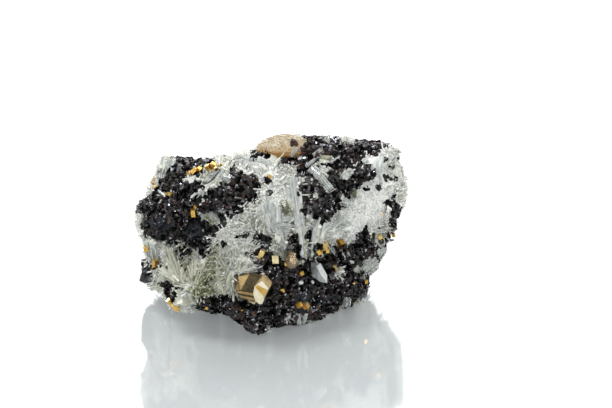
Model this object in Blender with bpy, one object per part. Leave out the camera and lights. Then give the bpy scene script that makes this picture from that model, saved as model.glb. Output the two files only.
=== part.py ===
"""A mineral specimen: pyrite, dark galena crusts and quartz grown together on one rock.

Sizes are millimetres until a mesh is written, in metres. Positions are given as they are seen from the
front at VIEW_ELEVATION: across (to the right), up (up in that view) and toward (to the viewer).
"""

import math
import random

import bmesh
import bpy
from mathutils import Matrix, Vector, noise
from mathutils.bvhtree import BVHTree
from mathutils.kdtree import KDTree

MM = 0.001
VIEW_ELEVATION = math.radians(25.0)
ROCK_MIDDLE = (0.0, 30.0)
ROCK_FRONT_BULGE = 15.0
ROCK_BACK_BULGE = 29.0
ROCK_SQUARENESS = 2.4
ROCK_INSET = 2.0
ROCK_CUTS = 10
ROCK_CORE_DEPTH = -8.0
FOOT_HEIGHT = 4.5
FOOT_DROP = 1.4
LUMP_COARSE = 2.6
LUMP_FINE = 1.3
GAP = 0.3
CRUST_THICKNESS = 2.3
CRUST_EDGE = 2.0
EDGE_WANDER = 3.2
CRUST_DIP = 1.2
CRUST_ROUGHNESS = 0.7
CRUST_CRYSTAL_SIZES = (2.0, 3.4)
CRUST_CRYSTAL_SPACING = 7.8
CRUST_CRYSTAL_MARGIN = 2.4
DRUSE_LENGTHS = (2.4, 4.6)
DRUSE_RADII = (0.7, 1.2)
DRUSE_SPACING = 8.6
DRUSE_MARGIN = 1.9
TIP_SHARE = 1.1
PYRITE_SUNK = 0.35
GROUND_SIZE = (120.0, 140.0, 8.0)
SHORTEST_EDGE = 0.002
NUDGE = 0.012
NUDGES = 12
FLAT_ANGLE = math.radians(1.5)
SEED = 7

ACROSS = Vector((1.0, 0.0, 0.0))
UP = Vector((0.0, math.sin(VIEW_ELEVATION), math.cos(VIEW_ELEVATION)))
TOWARD = Vector((0.0, -math.cos(VIEW_ELEVATION), math.sin(VIEW_ELEVATION)))

# The outline of the specimen as seen from the front, anticlockwise from the right (across, up).
OUTLINE = [
    (40.4, 38.0), (41.0, 46.5), (39.5, 48.6), (39.8, 52.8), (35.9, 57.6), (29.9, 58.0), (21.8, 59.3),
    (11.3, 59.3), (4.0, 60.0), (-2.3, 57.9), (-5.0, 55.6), (-9.8, 54.9), (-17.9, 52.8), (-24.8, 52.8),
    (-32.9, 53.7), (-33.8, 50.7), (-34.4, 48.0), (-37.0, 44.4), (-37.0, 41.0), (-39.2, 39.6),
    (-41.1, 34.2), (-38.0, 25.5), (-40.0, 21.9), (-40.4, 15.3), (-34.4, 13.2), (-28.7, 6.9),
    (-21.2, 7.5), (-13.7, 5.7), (-8.3, 3.0), (-5.6, 0.0), (-2.9, 0.6), (4.7, 2.7), (12.8, 3.0),
    (20.3, 6.6), (27.2, 9.0), (29.6, 13.2), (29.3, 17.7), (32.0, 21.3), (35.3, 26.7), (38.0, 31.0),
    (37.4, 34.2),
]
# How far toward the viewer the outline lies, by angle round the middle (degrees, millimetres).
RIM_DEPTH = [
    (0.0, -17.0), (45.0, -12.0), (90.0, -6.0), (135.0, -7.0), (180.0, -6.0), (200.0, -15.0),
    (215.0, 2.0), (230.0, 0.0), (270.0, 0.0), (288.0, -5.0), (302.0, -9.0), (317.0, -16.0),
    (335.0, -18.0), (360.0, -17.0),
]
# Hollows in the front: across, up, radius, depth.
HOLLOWS = [(6.5, 28.5, 3.2, 5.0), (-2.5, 28.5, 3.0, 3.5), (-27.0, 24.0, 4.0, 2.5), (13.0, 12.0, 4.0, 2.0)]

# Crusts: the outline of each as seen from the front (across, up).
CRUSTS = {
    "galena_crust_upper_left": [
        (-37.0, 60.0), (-16.0, 60.0), (-12.0, 51.0), (-3.5, 46.0), (-3.5, 39.0), (-10.0, 36.0),
        (-14.0, 33.0), (-17.0, 28.0), (-20.0, 25.5), (-24.0, 26.5), (-30.0, 29.0), (-46.0, 29.0),
        (-46.0, 50.0),
    ],
    "galena_crust_upper_right": [
        (8.0, 64.0), (8.0, 50.0), (9.5, 43.0), (14.0, 36.0), (20.5, 37.0), (25.0, 43.0), (33.0, 50.0),
        (45.0, 52.0), (45.0, 64.0),
    ],
    "galena_crust_lower_front": [
        (-8.0, 24.0), (10.0, 25.0), (23.5, 27.0), (32.0, 24.5), (45.0, 24.0), (45.0, 2.0), (10.0, -4.0),
        (-8.0, -4.0), (-22.0, 4.0), (-21.0, 13.0), (-16.0, 20.0),
    ],
    "galena_cluster_left_foot": [
        (-46.0, 24.5), (-34.0, 22.0), (-31.0, 17.0), (-29.5, 10.0), (-30.0, 2.0), (-46.0, 2.0),
    ],
    "galena_crust_right_edge": [
        (33.0, 41.0), (45.0, 43.0), (45.0, 32.0), (35.0, 31.0), (31.5, 35.0),
    ],
}
CRUST_WRAP = -0.38
BACK_CRUST_DEPTH = -0.6
BACK_CRUST_FOOT = 20.0

# Quartz crystals: each prism is (from across, up, lift, to across, up, lift, width); lift is how far the
# end stands out of the rock toward the viewer.
QUARTZ = {
    "quartz_bundle_centre_left": [
        (-1.0, 40.5, -1.0, 4.0, 26.0, 3.5, 2.6), (1.0, 39.5, -1.0, 5.6, 26.5, 3.0, 2.2),
        (2.8, 38.5, -1.0, 2.2, 27.5, 3.8, 2.0), (-0.5, 36.5, -0.8, 5.5, 31.5, 2.6, 1.8),
    ],
    "quartz_blade_centre_right": [
        (7.2, 44.0, -1.5, 9.2, 21.5, 4.2, 2.9), (9.2, 42.0, -1.5, 9.8, 26.0, 3.0, 2.2),
    ],
    "quartz_group_middle_right": [
        (14.2, 34.0, -0.8, 12.2, 22.5, 2.5, 2.2), (15.8, 32.0, -0.8, 13.8, 23.0, 2.0, 1.8),
        (12.8, 38.0, -0.8, 11.6, 33.5, 2.2, 2.0),
    ],
    "quartz_fan_left": [
        (-28.3, 16.5, -1.0, -32.6, 25.6, 2.0, 1.7), (-28.0, 16.8, -1.0, -30.0, 26.0, 2.4, 1.7),
        (-27.8, 16.8, -1.0, -27.8, 23.4, 2.6, 1.6), (-28.4, 16.0, -1.0, -33.6, 20.6, 1.8, 1.6),
        (-27.6, 16.2, -1.0, -24.6, 22.6, 2.2, 1.5),
    ],
    "quartz_columns_left": [
        (-36.6, 23.0, -1.2, -37.2, 28.6, 1.8, 2.2), (-34.8, 22.8, -1.2, -35.2, 28.4, 2.0, 2.2),
    ],
    "quartz_stub_upper_left": [
        (-32.8, 47.6, -1.0, -32.6, 53.6, 1.0, 2.2), (-30.9, 47.8, -1.0, -30.6, 53.2, 1.2, 2.2),
    ],
    "quartz_prism_top": [(8.5, 50.6, -0.4, 16.0, 56.0, 1.6, 1.7)],
    "quartz_plate_upper_right": [(11.0, 50.2, -0.6, 18.6, 43.0, 1.8, 3.4)],
    "quartz_angular_upper": [(-9.6, 52.0, -0.6, -1.6, 49.0, 1.6, 4.6)],
    "quartz_prism_end_on": [(-13.0, 46.4, -2.5, -13.2, 46.9, 3.4, 2.8)],
    "quartz_band_diagonal": [
        (-15.0, 49.0, -0.8, -23.2, 40.4, 1.4, 2.4), (-19.6, 43.6, -0.4, -23.6, 39.6, 1.8, 1.3),
    ],
    "quartz_needle_long": [
        (18.2, 28.6, -0.6, 23.0, 21.4, 2.6, 1.2), (18.0, 30.2, -0.6, 20.6, 36.2, 1.6, 1.4),
    ],
    "quartz_fan_right": [
        (15.5, 30.5, -0.8, 21.5, 34.6, 2.0, 1.5), (16.0, 30.0, -0.8, 24.4, 32.0, 2.0, 1.5),
        (16.0, 31.5, -0.8, 17.6, 37.4, 2.0, 1.5),
    ],
    "quartz_point_lower_right": [(31.8, 22.4, -0.8, 25.6, 18.0, 1.8, 3.2)],
    "quartz_dome_lower_right": [(22.4, 8.2, -1.0, 23.0, 10.4, 2.2, 3.8)],
    "quartz_needle_right_edge": [(31.8, 49.4, -0.5, 33.6, 43.4, 1.8, 1.5)],
    "quartz_triangular_lower_left": [(-22.5, 10.2, -0.8, -26.6, 13.2, 1.8, 4.0)],
    "quartz_group_bottom_front": [
        (8.6, 3.4, -1.0, 8.0, 7.0, 1.8, 2.4), (9.6, 3.8, -1.0, 10.4, 7.0, 1.6, 2.0),
    ],
    "clear_grey_crystal": [(15.2, 21.6, -1.0, 14.4, 15.4, 2.4, 4.0)],
}

# The quartz crystals that grow out of the quartz rock itself, and are one solid with it.
FUSED = (
    "quartz_bundle_centre_left", "quartz_blade_centre_right", "quartz_group_middle_right",
    "quartz_fan_left", "quartz_columns_left", "quartz_angular_upper", "quartz_fan_right",
    "quartz_needle_long", "quartz_triangular_lower_left",
)

# Small pyrite: each cube is (across, up, lift, size, stretch, turn in degrees).
PYRITE = {
    "pyrite_nugget": [(-2.6, 24.3, 1.3, 1.7, 1.8, 12.0)],
    "pyrite_striated_cube": [(1.5, 22.5, 1.2, 2.1, 1.1, 20.0)],
    "pyrite_left_edge": [(-34.6, 21.4, 1.2, 2.0, 1.2, 30.0), (-35.3, 22.9, 1.2, 1.6, 1.0, 65.0)],
    "pyrite_left_upper": [(-37.4, 25.9, 1.0, 1.9, 1.1, 15.0)],
    "pyrite_lower_left": [(-29.9, 9.6, 1.4, 1.9, 1.3, -35.0), (-28.6, 8.0, 1.2, 1.8, 1.3, -50.0)],
    "pyrite_front_left": [(-19.0, 9.0, 1.0, 1.8, 1.1, 25.0)],
    "pyrite_front_right": [(8.5, 9.3, 1.2, 2.0, 1.0, 40.0), (9.9, 9.0, 1.2, 1.7, 1.0, 10.0)],
    "pyrite_pointed_pair": [(15.3, 25.6, 1.3, 2.0, 1.2, 45.0), (16.6, 26.4, 1.2, 1.6, 1.0, 20.0)],
    "pyrite_brown_oval": [(20.3, 27.3, 1.2, 2.2, 1.2, -30.0)],
    "pyrite_right_middle": [(18.8, 19.8, 1.0, 1.4, 1.1, 35.0)],
    "pyrite_upper_left": [(-35.0, 45.2, 1.0, 1.8, 1.3, 80.0)],
    "pyrite_top_bar": [(-22.6, 48.6, 1.2, 1.7, 2.0, 28.0)],
    "pyrite_top_cluster": [(-18.4, 50.2, 1.2, 1.9, 1.2, 50.0), (-17.0, 51.2, 1.1, 1.6, 1.1, 15.0)],
    "pyrite_orange_bar": [(-22.8, 36.3, 1.1, 1.5, 1.9, 85.0)],
    "pyrite_right_edge": [(32.6, 29.0, 1.2, 1.9, 1.1, 35.0)],
    "pyrite_lower_right": [(28.4, 15.6, 1.1, 1.8, 1.2, 60.0)],
}
# The large intergrown pyrite: across, up, lift, size, then turns about across, up and toward (degrees).
PYRITE_LARGE = [
    (-6.6, 15.6, 1.6, 6.4, 18.0, -22.0, 4.0), (-2.4, 14.0, 2.6, 5.6, 30.0, 34.0, 14.0),
    (-7.8, 11.8, 1.2, 4.6, 24.0, -30.0, 20.0),
]
PYRITOHEDRON = (5.9, 22.6, 1.3, 2.5)
DOME = (2.6, 55.0, -0.5, (7.2, 4.0, 5.0))

# Each mineral's colour, roughness and metallic value.
LOOKS = {
    "quartz": ((0.66, 0.68, 0.58), 0.35, 0.0),
    "galena": ((0.05, 0.045, 0.05), 0.3, 0.85),
    "pyrite": ((0.72, 0.52, 0.2), 0.25, 1.0),
    "clear": ((0.5, 0.55, 0.58), 0.1, 0.0),
    "calcite": ((0.6, 0.47, 0.28), 0.45, 0.0),
}


def in_view(across, up, toward):
    """The point, in metres, that lies at these millimetres in the front view."""
    return (ACROSS * across + UP * up + TOWARD * toward) * MM


def seen_at(point):
    """Where a point in metres lies in the front view, in millimetres."""
    return point.dot(ACROSS) / MM, point.dot(UP) / MM, point.dot(TOWARD) / MM


def outline_radius(angle):
    """The distance from the middle of the rock to its outline in this direction."""
    ray = Vector((math.cos(angle), math.sin(angle)))
    middle = Vector(ROCK_MIDDLE)
    best = 0.0
    for start, end in zip(OUTLINE, OUTLINE[1:] + OUTLINE[:1]):
        a = Vector(start) - middle
        b = Vector(end) - middle
        side_a = ray.x * a.y - ray.y * a.x
        side_b = ray.x * b.y - ray.y * b.x
        if side_a * side_b > 0.0 or side_a == side_b:
            continue
        share = side_a / (side_a - side_b)
        best = max(best, ray.dot(a.lerp(b, share)))
    return best


def rim_depth(angle):
    """How far toward the viewer the outline lies in this direction."""
    degrees = math.degrees(angle) % 360.0
    for (low, start), (high, end) in zip(RIM_DEPTH, RIM_DEPTH[1:]):
        if degrees <= high:
            return start + (end - start) * (degrees - low) / (high - low)
    return RIM_DEPTH[-1][1]


def inside(polygon, x, y):
    """Whether a point of the front view lies in a polygon."""
    crossings = 0
    for (ax, ay), (bx, by) in zip(polygon, polygon[1:] + polygon[:1]):
        if (ay > y) != (by > y) and x < ax + (bx - ax) * (y - ay) / (by - ay):
            crossings += 1
    return crossings % 2 == 1


def rock_surface(direction):
    """The rock's surface in a direction (across, up, toward): a squared ellipsoid on the outline."""
    across, up, toward = direction
    angle = math.atan2(up, across)
    power = 2.0 / ROCK_SQUARENESS
    spread = math.hypot(across, up) ** power
    depth = math.copysign(abs(toward) ** power, toward)
    radius = (outline_radius(angle) - ROCK_INSET) * spread
    bulge = ROCK_FRONT_BULGE if depth > 0.0 else ROCK_BACK_BULGE
    x = ROCK_MIDDLE[0] + radius * math.cos(angle)
    y = ROCK_MIDDLE[1] + radius * math.sin(angle)
    z = rim_depth(angle) * spread + bulge * depth
    coarse = noise.noise(Vector((x, y, z)) * 0.11)
    fine = noise.noise(Vector((x, y, z)) * 0.3 + Vector((9.0, 3.0, 5.0)))
    lump = LUMP_COARSE * coarse + LUMP_FINE * fine
    x += lump * across
    y += lump * up
    z += lump * toward
    if depth > 0.0:
        for hollow_x, hollow_y, size, deep in HOLLOWS:
            apart = ((x - hollow_x) ** 2 + (y - hollow_y) ** 2) / size ** 2
            z -= deep * math.exp(-apart)
    place = in_view(x, y, z)
    if place.z < FOOT_HEIGHT * MM:
        place.z -= (FOOT_HEIGHT * MM - place.z) * FOOT_DROP
    return place, depth


def new_object(name, mesh_source):
    """An object from a bmesh."""
    mesh = bpy.data.meshes.new(name)
    mesh_source.to_mesh(mesh)
    mesh_source.free()
    made = bpy.data.objects.new(name, mesh)
    bpy.context.scene.collection.objects.link(made)
    return made


def baked(made):
    """The object with its modifiers applied."""
    bpy.context.view_layer.update()
    graph = bpy.context.evaluated_depsgraph_get()
    mesh = bpy.data.meshes.new_from_object(made.evaluated_get(graph))
    old = made.data
    made.modifiers.clear()
    made.data = mesh
    bpy.data.meshes.remove(old)
    return made


def measured(mesh):
    """The open edges and the volume (cubic millimetres) of a mesh."""
    copy = bmesh.new()
    copy.from_mesh(mesh)
    open_edges = sum(len(edge.link_faces) != 2 for edge in copy.edges)
    volume = copy.calc_volume() / MM ** 3
    copy.free()
    return open_edges, volume


def cleaned(mesh):
    """Triangulate a mesh and drop edges too short to matter, unless that would open it."""
    for shortest in (SHORTEST_EDGE * MM, 0.0):
        copy = bmesh.new()
        copy.from_mesh(mesh)
        if shortest:
            bmesh.ops.dissolve_degenerate(copy, edges=copy.edges[:], dist=shortest)
        bmesh.ops.triangulate(copy, faces=copy.faces[:])
        closed = all(len(edge.link_faces) == 2 for edge in copy.edges)
        if closed or not shortest:
            copy.to_mesh(mesh)
        copy.free()
        if closed:
            return


def combine(made, other, operation, crossing=False):
    """Join another object to this one, or cut it out, and remove the other.

    Where the result is open or has lost more than the cutter, it is done again with the other nudged.
    """
    cleaned(made.data)
    cleaned(other.data)
    whole = made.data.copy()
    _, before = measured(whole)
    _, taken = measured(other.data)
    for turn in range(NUDGES):
        other.location = Vector((math.sin(turn), math.sin(2.3 * turn), math.sin(3.1 * turn))) * NUDGE * MM
        cut = made.modifiers.new("combine", "BOOLEAN")
        cut.object = other
        cut.operation = operation
        cut.solver = "EXACT"
        cut.use_self = crossing or turn > NUDGES // 2
        baked(made)
        cleaned(made.data)
        open_edges, after = measured(made.data)
        least = before - taken if operation == "DIFFERENCE" else before
        if open_edges == 0 and after >= least * 0.999 and after > 0.0:
            break
        old = made.data
        made.data = whole.copy()
        bpy.data.meshes.remove(old)
    bpy.data.objects.remove(other)
    return made


def settled(made):
    """Keep a node's largest body and merge its flat neighbours, to have few faces."""
    copy = bmesh.new()
    copy.from_mesh(made.data)
    pieces = sorted(split_islands(copy), key=len)
    loose = [face for piece in pieces[:-1] for face in piece]
    bmesh.ops.delete(copy, geom=loose, context="FACES")
    copy.to_mesh(made.data)
    bmesh.ops.dissolve_limit(copy, angle_limit=FLAT_ANGLE, verts=copy.verts[:], edges=copy.edges[:])
    bmesh.ops.triangulate(copy, faces=copy.faces[:])
    if all(len(edge.link_faces) == 2 for edge in copy.edges):
        copy.to_mesh(made.data)
    copy.free()


def split_islands(mesh):
    """The connected groups of faces."""
    left = set(mesh.faces)
    found = []
    while left:
        todo = [left.pop()]
        piece = list(todo)
        while todo:
            for edge in todo.pop().edges:
                for face in edge.link_faces:
                    if face in left:
                        left.remove(face)
                        todo.append(face)
                        piece.append(face)
        found.append(piece)
    return found


def meet(made, other):
    """Whether the surfaces of two objects cross."""
    low_a, high_a = corners_of(made)
    low_b, high_b = corners_of(other)
    if any(low_a[i] > high_b[i] or low_b[i] > high_a[i] for i in range(3)):
        return False
    bpy.context.view_layer.update()
    graph = bpy.context.evaluated_depsgraph_get()
    return bool(BVHTree.FromObject(made, graph).overlap(BVHTree.FromObject(other, graph)))


def corners_of(made):
    """The low and high corner of an object's mesh."""
    places = [vertex.co for vertex in made.data.vertices]
    low = [min(place[i] for place in places) for i in range(3)]
    high = [max(place[i] for place in places) for i in range(3)]
    return low, high


def polygon_reach(polygon):
    """How far inside a crust a place on the rock lies: its outline in the view, and not the far back."""
    def reach(place, depth):
        across, up, _ = seen_at(place)
        inner = min(reach_inside(polygon, across, up), (depth - CRUST_WRAP) * ROCK_BACK_BULGE)
        return inner + wander(place)
    return reach


def back_reach(place, depth):
    """How far inside the crust on the hidden back a place lies."""
    above = place.z / MM - BACK_CRUST_FOOT
    return min((BACK_CRUST_DEPTH - depth) * ROCK_BACK_BULGE, above) + wander(place)


def wander(place):
    """How far a crust's edge strays here from its plain outline."""
    return EDGE_WANDER * noise.noise(place * 160.0)


def nearest_reach(source, reach):
    """The reach of the rock's point nearest to any place."""
    depths = source.verts.layers.float["depth"]
    tree = KDTree(len(source.verts))
    source.verts.ensure_lookup_table()
    for vertex in source.verts:
        tree.insert(vertex.co, vertex.index)
    tree.balance()

    def found(place):
        vertex = source.verts[tree.find(place)[1]]
        return reach(vertex.co, vertex[depths])
    return found


def rock():
    """The quartz rock: a cube's grid blown up to a ball and laid on the outline."""
    mesh = bmesh.new()
    bmesh.ops.create_cube(mesh, size=2.0)
    bmesh.ops.subdivide_edges(mesh, edges=mesh.edges[:], cuts=ROCK_CUTS - 1, use_grid_fill=True)
    depths = mesh.verts.layers.float.new("depth")
    for vertex in mesh.verts:
        warped = Vector([math.tan(part * math.pi / 4.0) for part in vertex.co])
        vertex.co, vertex[depths] = rock_surface(warped.normalized())
    bmesh.ops.recalc_face_normals(mesh, faces=mesh.faces)
    return mesh


def inflated(source, name, thickness):
    """A copy of the rock whose points are moved out from its middle by a thickness (millimetres)."""
    mesh = source.copy()
    depths = mesh.verts.layers.float["depth"]
    middle = in_view(*ROCK_MIDDLE, ROCK_CORE_DEPTH)
    for vertex in mesh.verts:
        outward = (vertex.co - middle).normalized()
        vertex.co += outward * thickness(vertex.co, vertex[depths]) * MM
    return new_object(name, mesh)


def grown_rock(source):
    """A copy of the rock, larger all round by a little over the gap that each crust keeps."""
    mesh = source.copy()
    mesh.normal_update()
    moved = [vertex.co + vertex.normal * GAP * 1.3 * MM for vertex in mesh.verts]
    for vertex, place in zip(mesh.verts, moved):
        vertex.co = place
    return new_object("grown", mesh)


def reach_inside(polygon, x, y):
    """How far inside a polygon a point lies: below zero outside it."""
    spot = Vector((x, y))
    nearest = 1e9
    for start, end in zip(polygon, polygon[1:] + polygon[:1]):
        a = Vector(start)
        along = Vector(end) - a
        share = max(0.0, min(1.0, (spot - a).dot(along) / along.length_squared))
        nearest = min(nearest, (spot - a - along * share).length)
    return nearest if inside(polygon, x, y) else -nearest


def crust_height(reach, place):
    """The height of a crust's top over the rock: it dips under the rock outside its edge."""
    rough = noise.noise(place * 420.0) * CRUST_ROUGHNESS
    share = max(-1.0, min(1.0, reach / CRUST_EDGE))
    return GAP * 1.6 + (CRUST_THICKNESS + rough) * share if share > 0.0 else share * CRUST_DIP


def spaced_points(made, spacing, wanted, rng):
    """Random points on a mesh, at least this far apart (millimetres), where wanted allows."""
    faces = [face for face in made.data.polygons]
    areas = [face.area for face in faces]
    kept = []
    for face in rng.choices(faces, weights=areas, k=2600):
        corners = [made.data.vertices[index].co for index in face.vertices]
        share = [rng.random() for _ in corners]
        total = sum(share)
        point = sum((corner * part for corner, part in zip(corners, share)), Vector()) / total
        if not wanted(point, face.normal):
            continue
        if all((point - other).length > spacing * MM for other, _ in kept):
            kept.append((point, face.normal.copy()))
    return kept


def add_shape(mesh, shape, matrix):
    """Add a turned copy of one of the crystal forms to a mesh."""
    if shape == "cube":
        bmesh.ops.create_cube(mesh, size=1.0, matrix=matrix)
    elif shape == "octahedron":
        bmesh.ops.create_uvsphere(mesh, u_segments=4, v_segments=2, radius=0.7, matrix=matrix)
    else:
        bmesh.ops.create_cone(mesh, cap_ends=True, segments=6, radius1=1.0, radius2=0.0, depth=1.0,
                              matrix=matrix)


def frame_on(point, direction, roll):
    """A matrix at a point with its z axis along a direction, turned about it."""
    turn = direction.to_track_quat("Z", "Y").to_matrix().to_4x4()
    return Matrix.Translation(point) @ turn @ Matrix.Rotation(roll, 4, "Z")


def grow_crystals(crust, reach, rng):
    """Fuse cubes and octahedra to the top of a crust."""
    mesh = bmesh.new()

    def well_inside(point, normal):
        return reach(point) > CRUST_CRYSTAL_MARGIN

    for point, normal in spaced_points(crust, CRUST_CRYSTAL_SPACING, well_inside, rng):
        size = rng.uniform(*CRUST_CRYSTAL_SIZES)
        axis = (normal + Vector([rng.uniform(-0.6, 0.6) for _ in range(3)])).normalized()
        matrix = frame_on(point + normal * size * 0.1 * MM, axis, rng.uniform(0.0, 6.28))
        scale = Matrix.Diagonal((size * MM, size * rng.uniform(0.7, 1.1) * MM, size * MM, 1.0))
        add_shape(mesh, rng.choice(("cube", "octahedron")), matrix @ scale)
    if mesh.verts:
        combine(crust, new_object("crystals", mesh), "UNION", True)


def prism_mesh(start, end, width, grow=0.0):
    """A six-sided prism with a pointed end, its whole length from start to end."""
    mesh = bmesh.new()
    along = (end - start).normalized()
    start = start - along * grow * MM
    end = end + along * grow * 2.0 * MM
    radius = (width / 2.0 + grow) * MM
    tip = min(TIP_SHARE * radius, (end - start).length * 0.4)
    body = (end - start).length - tip
    bmesh.ops.create_cone(mesh, cap_ends=True, segments=6, radius1=radius, radius2=radius * 0.94,
                          depth=body)
    top = max(mesh.faces, key=lambda face: face.calc_center_median().z)
    poked = bmesh.ops.poke(mesh, faces=[top])
    for vertex in poked["verts"]:
        vertex.co.z += tip
        vertex.co.x += radius * 0.2
    matrix = frame_on(start + along * body / 2.0, along, 0.3)
    bmesh.ops.transform(mesh, matrix=matrix, verts=mesh.verts[:])
    return mesh


def cube_mesh(place, size, stretch, turn, grow=0.0):
    """A stretched cube turned about the view, tipped so that an edge faces the viewer."""
    mesh = bmesh.new()
    bmesh.ops.create_cube(mesh, size=1.0)
    side = (size + 2.0 * grow) * MM
    long_side = (size * stretch + 2.0 * grow) * MM
    view = Matrix((ACROSS, UP, TOWARD)).transposed().to_4x4()
    turned = Matrix.Rotation(math.radians(turn), 4, "Z") @ Matrix.Rotation(0.55, 4, "X")
    matrix = Matrix.Translation(place) @ view @ turned @ Matrix.Diagonal((long_side, side, side, 1.0))
    bmesh.ops.transform(mesh, matrix=matrix, verts=mesh.verts[:])
    return mesh


def block_mesh(place, size, turns, grow=0.0):
    """A cube turned about the three directions of the view."""
    mesh = bmesh.new()
    bmesh.ops.create_cube(mesh, size=(size + 2.0 * grow) * MM)
    view = Matrix((ACROSS, UP, TOWARD)).transposed().to_4x4()
    turned = Matrix.Identity(4)
    for angle, axis in zip(turns, "XYZ"):
        turned = turned @ Matrix.Rotation(math.radians(angle), 4, axis)
    bmesh.ops.transform(mesh, matrix=Matrix.Translation(place) @ view @ turned, verts=mesh.verts[:])
    return mesh


def pyritohedron_mesh(place, radius, grow=0.0):
    """A twelve-faced crystal: the hull of a cube's corners and three crossed rectangles."""
    mesh = bmesh.new()
    size = (radius + grow) * MM / 1.25
    half = 0.5
    for x in (-1, 1):
        for y in (-1, 1):
            for z in (-1, 1):
                mesh.verts.new((x * size, y * size, z * size))
            short = (1.0 - half ** 2) * size
            long_side = (1.0 + half) * size
            mesh.verts.new((0.0, x * short, y * long_side))
            mesh.verts.new((x * short, y * long_side, 0.0))
            mesh.verts.new((y * long_side, 0.0, x * short))
    bmesh.ops.convex_hull(mesh, input=mesh.verts[:])
    matrix = Matrix.Translation(place) @ Matrix.Rotation(0.5, 4, "Z") @ Matrix.Rotation(0.4, 4, "X")
    bmesh.ops.transform(mesh, matrix=matrix, verts=mesh.verts[:])
    return mesh


def dome_mesh(place, radii, grow=0.0):
    """A rounded lump."""
    mesh = bmesh.new()
    bmesh.ops.create_icosphere(mesh, subdivisions=2, radius=1.0)
    for vertex in mesh.verts:
        lump = 1.0 + 0.09 * noise.noise(vertex.co * 2.2)
        vertex.co = vertex.co * lump
    view = Matrix((ACROSS, UP, TOWARD)).transposed().to_4x4()
    scale = Matrix.Diagonal([(radius + grow) * MM for radius in radii] + [1.0])
    bmesh.ops.transform(mesh, matrix=Matrix.Translation(place) @ view @ scale, verts=mesh.verts[:])
    return mesh


def joined(name, meshes):
    """One object from meshes that overlap."""
    made = new_object(name, meshes[0])
    for number, mesh in enumerate(meshes[1:]):
        combine(made, new_object(f"{name}_{number}", mesh), "UNION")
    return made


def look(key):
    """A plain material for one mineral."""
    colour, roughness, metallic = LOOKS[key]
    made = bpy.data.materials.new(key)
    made.use_nodes = True
    shader = made.node_tree.nodes["Principled BSDF"]
    shader.inputs["Base Color"].default_value = (*colour, 1.0)
    shader.inputs["Roughness"].default_value = roughness
    shader.inputs["Metallic"].default_value = metallic
    return made


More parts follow.
